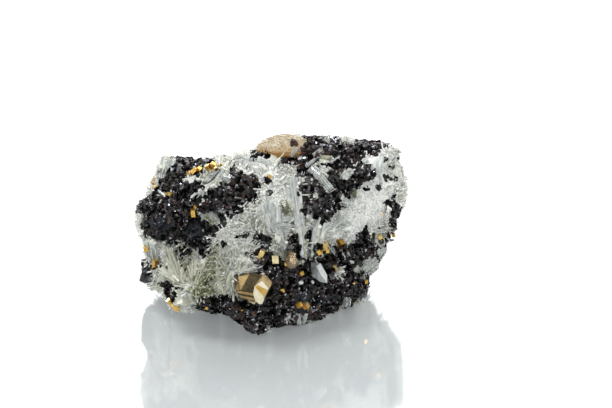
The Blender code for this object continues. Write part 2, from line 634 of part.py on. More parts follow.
def build():
    """Model the specimen."""
    for old in list(bpy.data.objects):
        bpy.data.objects.remove(old)
    rng = random.Random(SEED)
    source = rock()
    reaches = {name: polygon_reach(polygon) for name, polygon in CRUSTS.items()}
    reaches["galena_crust_back"] = back_reach
    parts = {}
    grown = grown_rock(source)
    for name, reach in reaches.items():
        top = inflated(source, name, lambda place, depth: crust_height(reach(place, depth), place))
        grow_crystals(top, nearest_reach(source, reach), random.Random(name))
        copy = grown.copy()
        bpy.context.scene.collection.objects.link(copy)
        parts[name] = combine(top, copy, "DIFFERENCE")
    bpy.data.objects.remove(grown)
    matrix_object = new_object("quartz_matrix", source.copy())

    graph = bpy.context.evaluated_depsgraph_get()
    trees = [BVHTree.FromObject(made, graph) for made in (matrix_object, *parts.values())]

    def surface(across, up):
        """The rock's or a crust's surface as seen from the front at this place."""
        origin = in_view(across, up, 200.0)
        hits = [tree.ray_cast(origin, -TOWARD)[0] for tree in trees]
        hits = [hit for hit in hits if hit is not None]
        if hits:
            return max(seen_at(hit)[2] for hit in hits)
        guess = in_view(across, up, rim_depth(math.atan2(up - ROCK_MIDDLE[1], across)))
        return seen_at(trees[0].find_nearest(guess)[0])[2]

    def on_surface(across, up, lift):
        return in_view(across, up, surface(across, up) + lift)

    shapes = {}
    for name, prisms in QUARTZ.items():
        foot = surface(*prisms[0][0:2])
        shapes[name] = [
            (prism_mesh, (in_view(*prism[0:2], foot + prism[2]), on_surface(*prism[3:6]), prism[6]))
            for prism in prisms
        ]
    for name, cubes in PYRITE.items():
        foot = surface(*cubes[0][0:2])
        shapes[name] = [
            (cube_mesh, (in_view(across, up, foot + lift - size * PYRITE_SUNK), size, stretch, turn))
            for across, up, lift, size, stretch, turn in cubes
        ]
    shapes["pyrite_large"] = [
        (block_mesh, (on_surface(across, up, lift - size * 0.3), size, turns))
        for across, up, lift, size, *turns in PYRITE_LARGE
    ]
    shapes["pyrite_pyritohedron"] = [
        (pyritohedron_mesh, (on_surface(*PYRITOHEDRON[0:3]), PYRITOHEDRON[3]))
    ]
    dome_place = in_view(DOME[0], DOME[1], rim_depth(math.pi / 2.0) + DOME[2])
    shapes["calcite_dome"] = [(dome_mesh, (dome_place, DOME[3]))]

    def bare(point, normal):
        return point.z > 3.0 * MM and normal.z > -0.6 and off_crusts(point)

    def off_crusts(place):
        return all(tree.find_nearest(place)[3] > DRUSE_MARGIN * MM for tree in trees[1:])

    points = bmesh.new()
    for point, normal in spaced_points(matrix_object, DRUSE_SPACING, bare, rng):
        length = rng.uniform(*DRUSE_LENGTHS)
        radius = rng.uniform(*DRUSE_RADII)
        axis = (normal + Vector([rng.uniform(-0.5, 0.5) for _ in range(3)])).normalized()
        if not off_crusts(point + axis * length * 0.8 * MM):
            continue
        matrix = frame_on(point + axis * length * 0.3 * MM, axis, rng.uniform(0.0, 6.28))
        scale = Matrix.Diagonal((radius * MM, radius * MM, length * MM, 1.0))
        add_shape(points, "point", matrix @ scale)
    combine(matrix_object, new_object("points", points), "UNION", True)
    parts["quartz_matrix"] = matrix_object

    for name in FUSED:
        for form, values in shapes[name]:
            combine(matrix_object, new_object("crystal", form(*values)), "UNION")
    for made in parts.values():
        for crystal, (form, values) in [(name, one) for name, forms in shapes.items() for one in forms]:
            if made is matrix_object and crystal in FUSED:
                continue
            socket = new_object("socket", form(*values, grow=GAP))
            if meet(made, socket):
                combine(made, socket, "DIFFERENCE")
            else:
                bpy.data.objects.remove(socket)
        ground = bmesh.new()
        slab = Matrix.Diagonal([side * MM for side in GROUND_SIZE] + [1.0])
        below = Matrix.Translation((0.0, 0.0, -GROUND_SIZE[2] / 2.0 * MM))
        bmesh.ops.create_cube(ground, size=1.0, matrix=below @ slab)
        combine(made, new_object("ground", ground), "DIFFERENCE")
        settled(made)
    for name, forms in shapes.items():
        if name not in FUSED:
            parts[name] = joined(name, [form(*values) for form, values in forms])
    return parts


def finish(parts):
    """Materials, collection, and the origin at the middle of the footprint."""
    collection = bpy.data.collections.new("pyrite_with_galena_and_quartz")
    bpy.context.scene.collection.children.link(collection)
    holder = bpy.data.objects.new("specimen", None)
    collection.objects.link(holder)
    looks = {key: look(key) for key in LOOKS}
    bpy.context.view_layer.update()
    corners = [made.matrix_world @ Vector(corner) for made in parts.values() for corner in made.bound_box]
    for made in parts.values():
        bpy.context.scene.collection.objects.unlink(made)
        collection.objects.link(made)
        made.parent = holder
        made.data.materials.clear()
        made.data.materials.append(looks[made.name.split("_")[0]])
    middle = [(min(c[axis] for c in corners) + max(c[axis] for c in corners)) / 2.0 for axis in (0, 1)]
    holder.location = (-middle[0], -middle[1], 0.0)


finish(build())
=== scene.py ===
"""The looks of a mineral specimen: pyrite, dark galena crusts, quartz and a tan calcite dome.

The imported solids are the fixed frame. Shapes are worked out in millimetres as they are seen from the front:
across (to the right), up (up in that view) and toward (to the viewer), and become metres in the mesh.
"""

import math
from itertools import product

import bmesh
import bpy
import numpy as np
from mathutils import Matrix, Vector
from mathutils.bvhtree import BVHTree


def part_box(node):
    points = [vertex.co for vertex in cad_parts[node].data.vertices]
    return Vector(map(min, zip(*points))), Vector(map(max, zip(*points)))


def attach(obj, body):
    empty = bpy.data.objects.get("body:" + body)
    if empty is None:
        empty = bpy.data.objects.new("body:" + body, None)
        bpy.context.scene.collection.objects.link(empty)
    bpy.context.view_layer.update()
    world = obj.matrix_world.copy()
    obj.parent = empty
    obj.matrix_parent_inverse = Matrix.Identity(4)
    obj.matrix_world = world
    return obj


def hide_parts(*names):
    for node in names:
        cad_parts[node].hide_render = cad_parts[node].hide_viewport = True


bl_info = {
    "name": "Pyrite, galena and quartz specimen",
    "version": (1, 0, 0),
    "blender": (4, 5, 0),
    "location": "View3D > Sidebar > Specimen",
    "description": "Dresses the packed solids of a mineral specimen with crystals and finishes",
    "category": "Object",
}

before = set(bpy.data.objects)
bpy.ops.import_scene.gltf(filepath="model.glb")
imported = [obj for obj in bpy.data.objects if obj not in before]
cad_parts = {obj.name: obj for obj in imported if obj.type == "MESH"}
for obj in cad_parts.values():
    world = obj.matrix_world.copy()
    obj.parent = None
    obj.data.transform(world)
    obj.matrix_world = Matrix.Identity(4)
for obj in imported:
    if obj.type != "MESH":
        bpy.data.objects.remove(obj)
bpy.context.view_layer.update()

MM = 0.001
TINY = 1e-9
BODY = "root"

VIEW_ELEVATION = math.radians(25.0)
VIEW_AXES = np.array([
    [1.0, 0.0, 0.0],
    [0.0, math.sin(VIEW_ELEVATION), math.cos(VIEW_ELEVATION)],
    [0.0, -math.cos(VIEW_ELEVATION), math.sin(VIEW_ELEVATION)],
])
# The nugget is a centred block, and its middle was placed at this spot of the front view.
NUGGET = (-2.6, 24.3)
FAR = 200.0
RIM_TOWARD = -8.0

ROCK = "quartz_matrix"
CRUSTS = [name for name in sorted(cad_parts) if name.startswith("galena")]
FLOOR_CLEARANCE = 0.05
MERGE = 1e-6

# The specimen's outline as seen from the front (across, up), anticlockwise from the right.
OUTLINE = [
    (39.9, 38.0), (41.0, 46.5), (39.5, 48.6), (39.8, 52.8), (38.9, 54.9), (36.5, 56.0), (35.9, 57.6),
    (29.9, 58.2), (25.1, 58.5), (21.8, 59.3), (11.3, 59.3), (8.0, 59.8), (4.0, 60.0), (0.5, 59.4),
    (-2.3, 57.9), (-5.0, 55.6), (-9.8, 54.9), (-12.5, 54.0), (-17.9, 52.8), (-24.8, 52.8), (-28.6, 53.2),
    (-31.1, 53.1), (-32.9, 53.7), (-33.8, 50.7), (-34.4, 48.0), (-37.0, 44.4), (-37.0, 41.1),
    (-39.2, 39.6), (-40.8, 37.5), (-41.1, 34.2), (-40.7, 32.1), (-38.3, 27.9), (-38.0, 25.5),
    (-40.0, 21.9), (-39.2, 18.0), (-40.4, 15.3), (-38.3, 14.4), (-36.5, 12.0), (-34.5, 13.2),
    (-31.7, 11.1), (-30.8, 9.0), (-28.7, 6.9), (-24.2, 6.6), (-21.2, 7.5), (-16.7, 6.0), (-13.7, 5.7),
    (-11.3, 4.2), (-8.3, 3.0), (-7.7, 0.9), (-5.6, 0.0), (-2.9, 0.6), (0.5, 1.8), (4.7, 2.7), (8.9, 2.7),
    (12.8, 3.0), (16.1, 4.8), (20.3, 6.6), (23.9, 8.0), (27.2, 9.0), (29.3, 10.5), (29.6, 13.2),
    (29.3, 17.7), (32.0, 19.5), (32.0, 21.3), (34.7, 24.0), (35.3, 26.7), (37.4, 28.2), (38.0, 31.0),
    (37.4, 34.2),
]
OUTLINE_MIDDLE = (0.0, 30.0)
OUTLINE_SPARE = 1.026
RIM_INSIDE = 0.96

# What each part of the front shows, as outlines in the front view (across, up).
DARK_FIELDS = [
    [
        (-31.0, 52.5), (-28.0, 54.0), (-16.5, 54.0), (-16.5, 50.5), (-19.0, 48.2), (-21.5, 46.9),
        (-23.5, 47.3), (-26.5, 45.9), (-24.0, 45.1), (-20.8, 45.9), (-20.3, 43.8), (-23.6, 40.8),
        (-22.9, 40.2), (-20.4, 42.3), (-20.4, 39.4), (-19.3, 39.4), (-18.8, 43.4), (-16.2, 43.9),
        (-14.6, 46.2), (-13.2, 45.0), (-11.8, 45.6), (-11.4, 47.6), (-12.4, 49.6), (-11.6, 52.4),
        (-10.3, 51.5), (-10.0, 48.0), (-5.0, 47.8), (-3.6, 45.8), (-2.6, 43.6), (-3.5, 40.5), (-3.3, 38.8),
        (-6.6, 38.4), (-9.4, 38.9), (-9.6, 35.0), (-13.4, 34.6), (-13.4, 32.6), (-16.0, 30.4),
        (-17.2, 27.6), (-18.6, 24.2), (-20.5, 23.4), (-21.5, 25.4), (-24.4, 25.8), (-25.6, 27.8),
        (-29.0, 27.4), (-31.5, 27.8), (-34.6, 29.2), (-37.6, 29.8), (-38.4, 32.5), (-38.8, 36.4),
        (-41.6, 36.6), (-40.5, 40.0), (-37.5, 41.6), (-34.4, 42.6), (-33.4, 45.4), (-33.6, 47.6),
        (-31.2, 48.2), (-30.6, 50.2),
    ],
    [
        (3.4, 55.5), (2.9, 50.4), (7.6, 50.6), (9.0, 50.0), (7.2, 47.4), (8.4, 44.6), (8.4, 41.0),
        (9.4, 38.6), (9.6, 35.4), (12.6, 34.8), (15.0, 32.8), (17.6, 34.0), (19.0, 36.6), (20.6, 38.0),
        (22.6, 37.6), (24.8, 40.4), (25.0, 43.4), (26.8, 45.0), (30.6, 46.2), (31.2, 48.6), (29.8, 50.6),
        (27.0, 51.4), (26.4, 53.2), (31.0, 53.4), (33.6, 55.4), (37.0, 55.8), (37.0, 62.0), (9.0, 62.0),
        (9.6, 56.4), (8.8, 54.0),
    ],
    [
        (33.8, 39.2), (36.6, 40.6), (39.5, 38.4), (38.4, 35.4), (38.2, 29.5), (36.4, 30.6), (35.2, 34.4),
        (36.2, 37.4),
    ],
    [
        (-5.6, 25.2), (-1.6, 25.6), (0.4, 24.4), (3.6, 22.6), (9.2, 21.2), (12.6, 23.8), (12.8, 26.4),
        (14.6, 27.4), (17.4, 26.8), (19.8, 27.6), (22.6, 27.4), (24.6, 28.2), (26.4, 30.8),
        (29.0, 31.0), (31.2, 28.2), (33.2, 31.2), (36.0, 30.8), (38.6, 31.6), (39.0, 27.5), (34.6, 22.8),
        (32.4, 22.4), (29.0, 22.8), (26.4, 19.6), (30.6, 18.0), (33.0, 10.0), (32.0, 4.0), (16.0, -3.0),
        (-3.0, -6.0), (-12.0, -2.0), (-24.0, 3.0), (-22.4, 8.6), (-21.6, 10.4), (-19.6, 12.2),
        (-15.6, 12.8), (-10.4, 12.4), (-9.6, 10.6), (-4.6, 9.6), (-0.6, 13.6), (-1.6, 18.4), (-4.8, 19.8),
    ],
    [(4.8, 30.0), (8.4, 30.4), (9.4, 22.6), (6.6, 23.2), (4.2, 25.4)],
    [(-5.4, 29.4), (-3.6, 30.6), (-1.0, 30.0), (0.4, 28.2), (-0.2, 25.4), (-3.4, 26.0), (-5.6, 27.4)],
    [(-6.0, 52.0), (-0.6, 52.2), (-0.4, 54.8), (-5.6, 54.6)],
    [
        (-37.6, 25.6), (-42.0, 23.0), (-41.0, 19.6), (-42.0, 15.6), (-38.8, 14.2), (-37.8, 12.6),
        (-36.0, 14.6), (-34.0, 15.2), (-31.4, 13.2), (-31.6, 10.4), (-28.6, 9.4), (-27.2, 12.6),
        (-27.6, 14.8), (-30.4, 15.8), (-34.6, 15.4), (-36.4, 17.6), (-35.0, 19.8), (-32.6, 20.2),
        (-34.8, 21.0), (-37.8, 21.4),
    ],
]
PALE_FIELDS = [
    [(12.2, 49.6), (17.2, 50.0), (16.6, 46.6), (18.6, 44.6), (17.0, 42.6), (14.4, 45.2), (12.6, 47.2)],
    [(13.4, 50.6), (18.2, 51.4), (17.6, 53.6), (15.0, 53.8)],
    [(20.4, 62.0), (24.8, 62.0), (24.4, 56.6), (20.8, 57.2)],
    [(20.4, 42.2), (22.4, 40.6), (25.8, 40.0), (25.6, 37.6), (22.6, 37.8), (20.4, 39.6)],
    [(-21.5, 37.6), (-19.0, 36.4), (-16.0, 36.8), (-14.4, 35.0), (-15.4, 32.8), (-18.0, 33.0), (-20.0, 34.4)],
]
# Round spots of the one mineral on the other: across, up, radius.
DARK_SPOTS = [
    (-9.8, 29.2, 0.9), (-7.4, 29.5, 0.9), (-14.6, 26.8, 1.2), (-3.4, 29.4, 1.3), (-1.4, 46.2, 1.2),
    (-0.5, 42.4, 0.8), (33.8, 52.3, 0.8), (34.0, 47.2, 0.9), (36.0, 46.5, 0.7), (37.2, 46.6, 0.6),
    (39.7, 48.6, 0.7), (36.0, 50.0, 0.5), (28.3, 43.6, 0.8), (31.9, 43.8, 0.8), (38.5, 53.2, 0.8),
    (32.3, 31.9, 0.5), (28.3, 31.6, 0.6), (36.5, 41.2, 0.4), (-24.2, 13.2, 0.6), (-20.8, 18.9, 0.5),
    (-8.3, 37.6, 0.6), (11.2, 29.4, 1.3), (-25.0, 20.2, 0.4), (-24.0, 22.4, 0.5), (6.6, 28.4, 1.6),
    (7.6, 26.4, 1.2), (-24.6, 8.6, 1.0), (-6.6, 24.4, 0.6), (-26.6, 25.4, 1.6), (-27.2, 22.6, 0.9),
    (-24.8, 24.8, 1.2), (-26.8, 20.4, 0.6), (-20.2, 24.6, 1.0), (-18.4, 25.2, 0.9), (-29.4, 12.2, 1.0),
]
PALE_SPOTS = [
    (22.0, 47.8, 1.7), (-35.0, 44.4, 1.7), (-31.8, 42.0, 0.9), (28.6, 52.6, 1.1), (24.6, 50.2, 0.6),
    (-13.4, 51.8, 1.2), (9.0, 45.8, 0.7), (13.2, 41.0, 0.8), (8.8, 5.6, 0.9), (25.6, 19.2, 1.2),
    (5.0, 5.6, 0.7), (19.8, 18.8, 1.0), (26.2, 8.8, 1.5), (28.4, 9.6, 0.9), (16.4, 5.4, 0.8),
    (11.6, 3.4, 0.8), (-0.6, 2.0, 0.8), (-9.6, 4.4, 0.6), (-15.0, 6.2, 0.7), (20.6, 7.4, 0.8),
    (-36.4, 13.6, 0.9), (-33.8, 17.0, 1.2), (16.4, 57.8, 0.6), (33.0, 24.8, 1.4), (31.2, 27.0, 0.8),
    (34.0, 29.4, 0.6),
]
# Smooth blue-grey galena: outlines in the front view.
SMOOTH_FIELDS = [
    [(-36.6, 31.0), (-36.2, 34.6), (-32.0, 35.0), (-28.4, 33.8), (-29.6, 31.8), (-33.0, 30.6)],
    [(6.8, 11.6), (10.6, 12.6), (14.0, 12.2), (19.6, 14.4), (19.4, 10.0), (14.0, 8.8), (9.0, 9.8)],
    [(-24.6, 27.4), (-25.4, 32.6), (-21.6, 34.6), (-19.4, 32.0), (-20.4, 28.4)],
    [(-3.6, 1.8), (-2.6, 4.8), (1.2, 4.6), (1.4, 2.6)],
]
# How far the edges between minerals stray, the size of that noise, and its seed for across and for up.
EDGE_WANDER = 0.7
WANDER_SIZE = 1.6
WANDER_SEEDS = (3, 5)
# What looks this far toward the viewer or more shows the mineral that the front view gives it.
FRONT_FACING = -0.3
# And this far, the size and whiteness that the view gives its needles.
KIND_FACING = -0.2
# Steps round the view for the smooth and for the sharp table of the rim, and points along an outline's side.
RIM_STEPS = 120
EDGE_STEPS = 480
SIDE_POINTS = 60
# From this share of the way out the solids are drawn in, to leave this much room for the crystals.
RIM_START = 0.70
CRYSTAL_REACH = 0.2
# Up to this height over the floor they move along it.
FOOT_ZONE = 6.0
# A crystal whose tip leaves the outline is cut to this share of its length, up to this many times.
TIP_CUT = 0.55
TIP_CUTS = 3
# How far over a surface a ray starts, and how many random points are drawn for each cell of a grid.
RAY_START = 0.02
DRAWS_PER_CELL = 2.0


def unit(vectors):
    """The vectors at length one: each divided by its length."""
    return vectors / np.maximum(np.linalg.norm(vectors, axis=-1, keepdims=True), TINY)


def box_middle(name):
    """The middle of a solid's box, in metres of the frame."""
    low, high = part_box(name)
    return (np.array(low) + np.array(high)) / 2.0


def vertex_values(mesh, key):
    """Three numbers for each vertex of a mesh, such as its place, as an array (N, 3)."""
    flat = np.empty(len(mesh.vertices) * 3, np.float32)
    mesh.vertices.foreach_get(key, flat)
    return flat.reshape(-1, 3)


def view_origin():
    """Where the front view's zero lies in the frame: the nugget's middle less its place in the view."""
    middle = box_middle("pyrite_nugget") / MM
    across, up = NUGGET
    toward = (middle[2] - up * math.cos(VIEW_ELEVATION)) / math.sin(VIEW_ELEVATION)
    shift = middle - np.array([across, up, toward]) @ VIEW_AXES
    shift[2] = 0.0
    return shift


SHIFT = view_origin()


def to_view(points):
    """Metres in the frame to millimetres in the front view."""
    return (np.asarray(points) / MM - SHIFT) @ VIEW_AXES.T


def to_frame(points):
    """Millimetres in the front view to metres in the frame."""
    return (np.asarray(points) @ VIEW_AXES + SHIFT) * MM


def height(points):
    """How high points of the front view lie over the floor, in millimetres."""
    return points[..., 1] * VIEW_AXES[1, 2] + points[..., 2] * VIEW_AXES[2, 2]


def hashed(cells, seed):
    """A steady random number from 0 to 1 for each grid cell: the fraction of a large sine of its place."""
    mixed = cells @ np.array([127.1, 311.7, 74.7]) + seed * 53.7
    value = np.sin(mixed) * 43758.5453
    return value - np.floor(value)


def ripple(points, size, seed=0):
    """Smooth noise from -1 to 1.

    Each corner of a grid of this size has a random value, and these are blended by 3t^2 - 2t^3.
    """
    cells = points / size + seed * 7.31
    low = np.floor(cells)
    share = cells - low
    share = share * share * (3.0 - 2.0 * share)
    total = np.zeros(len(points))
    for corner in product((0, 1), repeat=3):
        corner = np.array(corner)
        weight = np.prod(np.where(corner, share, 1.0 - share), axis=1)
        total += weight * hashed(low + corner, seed)
    return total * 2.0 - 1.0


def in_polygon(polygon, points):
    """Whether points (N, 2) lie in a polygon: an odd number of its sides is crossed on the way out."""
    odd = np.zeros(len(points), bool)
    x, y = points[:, 0], points[:, 1]
    for (ax, ay), (bx, by) in zip(polygon, polygon[1:] + polygon[:1]):
        slope = (bx - ax) / (by - ay) if by != ay else 0.0
        odd ^= ((ay > y) != (by > y)) & (x < ax + slope * (y - ay))
    return odd


def in_any(polygons, spots, points):
    """Whether points (N, 2) lie in one of the outlines or round spots."""
    inside = np.zeros(len(points), bool)
    for polygon in polygons:
        inside |= in_polygon(polygon, points)
    for across, up, radius in spots:
        inside |= (points[:, 0] - across) ** 2 + (points[:, 1] - up) ** 2 < radius ** 2
    return inside


def widened(polygon, share):
    """An outline scaled about the middle of the specimen."""
    middle_across, middle_up = OUTLINE_MIDDLE
    return [
        (middle_across + (across - middle_across) * share, middle_up + (up - middle_up) * share)
        for across, up in polygon
    ]


def held_in(places, axes, lengths):
    """The crystals' lengths, cut TIP_CUTS times over where a tip would leave the outline."""
    limit = widened(OUTLINE, OUTLINE_SPARE)
    for _ in range(TIP_CUTS):
        tips = (places + axes * lengths[:, None])[:, :2]
        lengths = np.where(in_polygon(limit, tips), lengths, lengths * TIP_CUT)
    return lengths


def along(starts, ends, points):
    """How far points (N, 2) are from lines between starts and ends (M, 2), each as (N, M)."""
    way = ends - starts
    share = ((points[:, None] - starts) * way).sum(axis=2) / (way ** 2).sum(axis=1)
    nearest = starts + way * np.clip(share, 0.0, 1.0)[:, :, None]
    return np.linalg.norm(points[:, None] - nearest, axis=2)


def turn_of(away):
    """The turn, from 0 to 1, of each way (N, 2) out of the middle."""
    return np.arctan2(away[:, 1], away[:, 0]) / (2.0 * math.pi) + 0.5


def rim_table(flat, count):
    """The farthest that points (N, 2) reach from the specimen's middle, by angle: a value for each step."""
    away = flat - OUTLINE_MIDDLE
    steps = np.floor(turn_of(away) * count).astype(int)
    reach = np.zeros(count)
    np.maximum.at(reach, steps % count, np.linalg.norm(away, axis=1))
    return reach


def softened(table):
    """A table in which each value is the mean of five neighbours, the ends joined."""
    wide = np.concatenate((table[-2:], table, table[:2]))
    return sum(wide[start:start + len(table)] for start in range(5)) / 5.0


def dense(polygon):
    """An outline with many points along each side."""
    corners = np.array(polygon)
    share = np.linspace(0.0, 1.0, SIDE_POINTS, endpoint=False)[:, None, None]
    return (corners * (1.0 - share) + np.roll(corners, -1, axis=0) * share).reshape(-1, 2)


def rim_of_solids():
    """The rim table of the rock and its crusts."""
    meshes = [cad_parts[name].data for name in (ROCK, *CRUSTS)]
    places = np.concatenate([to_view(vertex_values(mesh, "co"))[:, :2] for mesh in meshes])
    return softened(rim_table(places, RIM_STEPS))


def at_turn(table, turn):
    """The value that a table of evenly spaced turns has at each turn from 0 to 1."""
    return np.interp(turn * len(table) - 0.5, np.arange(len(table)), table, period=len(table))


def drawn_in(points):
    """Points of the front view with the solids' rim drawn in to the outline, less the crystals' own height.

    From RIM_START of the way out, a point moves along its radius by a smooth share of the difference, and
    none stays outside. Low down it moves along the floor, so that what rests there goes on resting.
    """
    away = points[:, :2] - OUTLINE_MIDDLE
    radius = np.maximum(np.linalg.norm(away, axis=1), TINY)
    turn = turn_of(away)
    solid = at_turn(RIM_OF_SOLIDS, turn)
    shown = at_turn(RIM_OF_OUTLINE, turn) - CRYSTAL_REACH
    share = np.clip((radius / solid - RIM_START) / (1.0 - RIM_START), 0.0, 1.0)
    wanted = radius + (shown - solid) * share * share * (3.0 - 2.0 * share)
    wanted = np.minimum(wanted, at_turn(EDGE_OF_OUTLINE, turn) - CRYSTAL_REACH)
    move = away / radius[:, None] * (wanted - radius)[:, None]
    rest = np.clip(1.0 - height(points) / FOOT_ZONE, 0.0, 1.0)
    along_floor = -move[:, 1] * VIEW_AXES[1, 2] / VIEW_AXES[2, 2] * rest
    return points + np.concatenate((move, along_floor[:, None]), axis=1)


# How far the outline, smooth and sharp, and the solids reach from the middle at each turn.
RIM_OF_OUTLINE = softened(rim_table(dense(OUTLINE), RIM_STEPS))
EDGE_OF_OUTLINE = rim_table(dense(OUTLINE), EDGE_STEPS)
RIM_OF_SOLIDS = rim_of_solids()


def kept_inside(places, spare):
    """Places moved along their radius where they are nearer to the outline than they may be."""
    away = places[:, :2] - OUTLINE_MIDDLE
    limit = at_turn(EDGE_OF_OUTLINE, turn_of(away)) - spare
    share = np.minimum(limit / np.maximum(np.linalg.norm(away, axis=1), TINY), 1.0)
    return np.concatenate((OUTLINE_MIDDLE + away * share[:, None], places[:, 2:]), axis=1)


def wandered(points):
    """The view's across and up of points, strayed by noise so that no edge between minerals is smooth."""
    stray = np.stack([ripple(points, WANDER_SIZE, seed) for seed in WANDER_SEEDS], axis=1)
    return points[:, :2] + stray * EDGE_WANDER


def is_smooth(points, normals):
    """Whether each point shows smooth galena, which only the front has."""
    return in_any(SMOOTH_FIELDS, [], wandered(points)) & (normals[:, 2] > FRONT_FACING)


def is_pale(points, normals, on_crust):
    """Whether each point shows quartz.

    What looks to the front goes by the outlines, and the rest by the solid that it lies on.
    """
    flat = wandered(points)
    dark = in_any(DARK_FIELDS, DARK_SPOTS, flat) & ~in_any(PALE_FIELDS, PALE_SPOTS, flat)
    faces_front = normals[:, 2] > FRONT_FACING
    return np.where(faces_front, ~dark, ~on_crust)


class Solids:
    """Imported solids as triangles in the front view, with rays cast onto them."""

    def __init__(self, names):
        """Reads the triangles of the nodes with these names, drawn in to the outline."""
        self.names = list(names)
        corners, owners = [], []
        for number, name in enumerate(self.names):
            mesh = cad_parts[name].data
            mesh.calc_loop_triangles()
            order = np.empty(len(mesh.loop_triangles) * 3, np.int32)
            mesh.loop_triangles.foreach_get("vertices", order)
            places = drawn_in(to_view(vertex_values(mesh, "co")))
            corners.append(places[order].reshape(-1, 3, 3))
            owners.append(np.full(len(order) // 3, number))
        self.corners = np.concatenate(corners)
        self.owners = np.concatenate(owners)
        sides = self.corners[:, 1:] - self.corners[:, :1]
        cross = np.cross(sides[:, 0], sides[:, 1])
        self.areas = np.linalg.norm(cross, axis=1) / 2.0
        self.normals = unit(cross)
        order = np.arange(len(self.corners) * 3).reshape(-1, 3)
        self.tree = BVHTree.FromPolygons(self.corners.reshape(-1, 3).tolist(), order.tolist())

    def front(self, across, up):
        """How far toward the viewer the surface lies at this place of the view, or the nearest surface."""
        hit = self.tree.ray_cast(Vector((across, up, FAR)), Vector((0.0, 0.0, -1.0)))[0]
        if hit is None:
            hit = self.tree.find_nearest(Vector((across, up, RIM_TOWARD)))[0]
        return hit.z

    def is_open(self, points, normals, reach):
        """Whether nothing lies within reach over each point."""
        start = points + normals * RAY_START
        return np.array([
            self.tree.ray_cast(Vector(place), Vector(way), reach)[0] is None
            for place, way in zip(start.tolist(), normals.tolist())
        ])

    def scatter(self, names, spacing, seed, reach=2.5):
        """Points spread over open surfaces: random ones by area, and one kept in each cell of a grid.

        Gives the points, their normals and whether each lies on a crust.
        """
        rng = np.random.default_rng(seed)
        wanted = np.isin(self.owners, [self.names.index(name) for name in names])
        faces = np.flatnonzero(wanted)
        areas = self.areas[faces]
        count = int(areas.sum() / spacing ** 2 * DRAWS_PER_CELL)
        chosen = rng.choice(faces, count, p=areas / areas.sum())
        share = rng.random((count, 2))
        share = np.where(share.sum(axis=1, keepdims=True) > 1.0, 1.0 - share, share)
        first = self.corners[chosen, 0]
        sides = self.corners[chosen, 1:] - first[:, None]
        points = first + (sides * share[:, :, None]).sum(axis=1)
        kept = np.sort(np.unique(np.floor(points / spacing), axis=0, return_index=True)[1])
        points, normals, owners = points[kept], self.normals[chosen[kept]], self.owners[chosen[kept]]
        seen = self.is_open(points, normals, reach) & (height(points) > FLOOR_CLEARANCE)
        on_crust = np.array([name in CRUSTS for name in self.names])[owners]
        return points[seen], normals[seen], on_crust[seen]


ALL_SOLIDS = Solids(sorted(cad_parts))


class Form:
    """A crystal form on its own z axis: corners and, by their number of sides, faces."""

    def __init__(self, sides, profile):
        """A ring of corners (r cos a, r sin a, h) for each radius r and height h. Radius 0 is a point."""
        corners, rings, total = [], [], 0
        for radius, level in profile:
            count = sides if radius > 0.0 else 1
            angles = np.arange(count) * 2.0 * math.pi / sides
            levels = np.full(count, level)
            corners.append(np.stack((radius * np.cos(angles), radius * np.sin(angles), levels), axis=1))
            rings.append(np.arange(count) + total)
            total += count
        threes, fours, ends = [], [], []
        for low, high in zip(rings, rings[1:]):
            for here in range(sides):
                after = (here + 1) % sides
                if len(low) == 1:
                    threes.append((low[0], high[after], high[here]))
                elif len(high) == 1:
                    threes.append((low[here], low[after], high[0]))
                else:
                    fours.append((low[here], low[after], high[after], high[here]))
        if len(rings[0]) > 1:
            ends.append(rings[0][::-1])
        if len(rings[-1]) > 1:
            ends.append(rings[-1])
        self.corners = np.concatenate(corners)
        self.faces = [np.array(faces) for faces in (threes, fours, ends) if faces]
        levels = self.corners[:, 2]
        self.reach = (levels - levels.min()) / (levels.max() - levels.min())


NEEDLE = Form(4, [(0.7, 0.0), (1.0, 0.3), (0.8, 0.85), (0.0, 1.0)])
PRISM = Form(6, [
    (0.9, 0.0), (1.0, 0.12), (1.0, 0.36), (0.95, 0.37), (0.96, 0.60), (0.91, 0.61), (0.90, 0.88),
    (0.0, 1.0),
])
SUGAR = Form(5, [(0.8, 0.0), (1.0, 0.55), (0.0, 1.0)])
OCTAHEDRON = Form(4, [(0.3, -0.72), (1.0, 0.0), (0.24, 0.76)])
BLOCK = Form(4, [(0.82, -0.75), (1.0, -0.55), (1.0, 0.55), (0.8, 0.78)])
WEDGE = Form(3, [(0.6, -0.7), (1.1, -0.2), (0.75, 0.55), (0.2, 0.85)])
GRAIN = Form(5, [(0.0, -0.9), (0.8, -0.45), (1.0, 0.2), (0.4, 0.85)])


def crystal_frames(axes, rolls):
    """Three directions for each crystal: z along its axis, and x turned about it by its roll."""
    helper = np.where(np.abs(axes[:, 2:]) < 0.9, [[0.0, 0.0, 1.0]], [[1.0, 0.0, 0.0]])
    side = unit(np.cross(helper, axes))
    other = np.cross(axes, side)
    turned = side * np.cos(rolls)[:, None] + other * np.sin(rolls)[:, None]
    return np.stack((turned, np.cross(axes, turned), axes), axis=1)


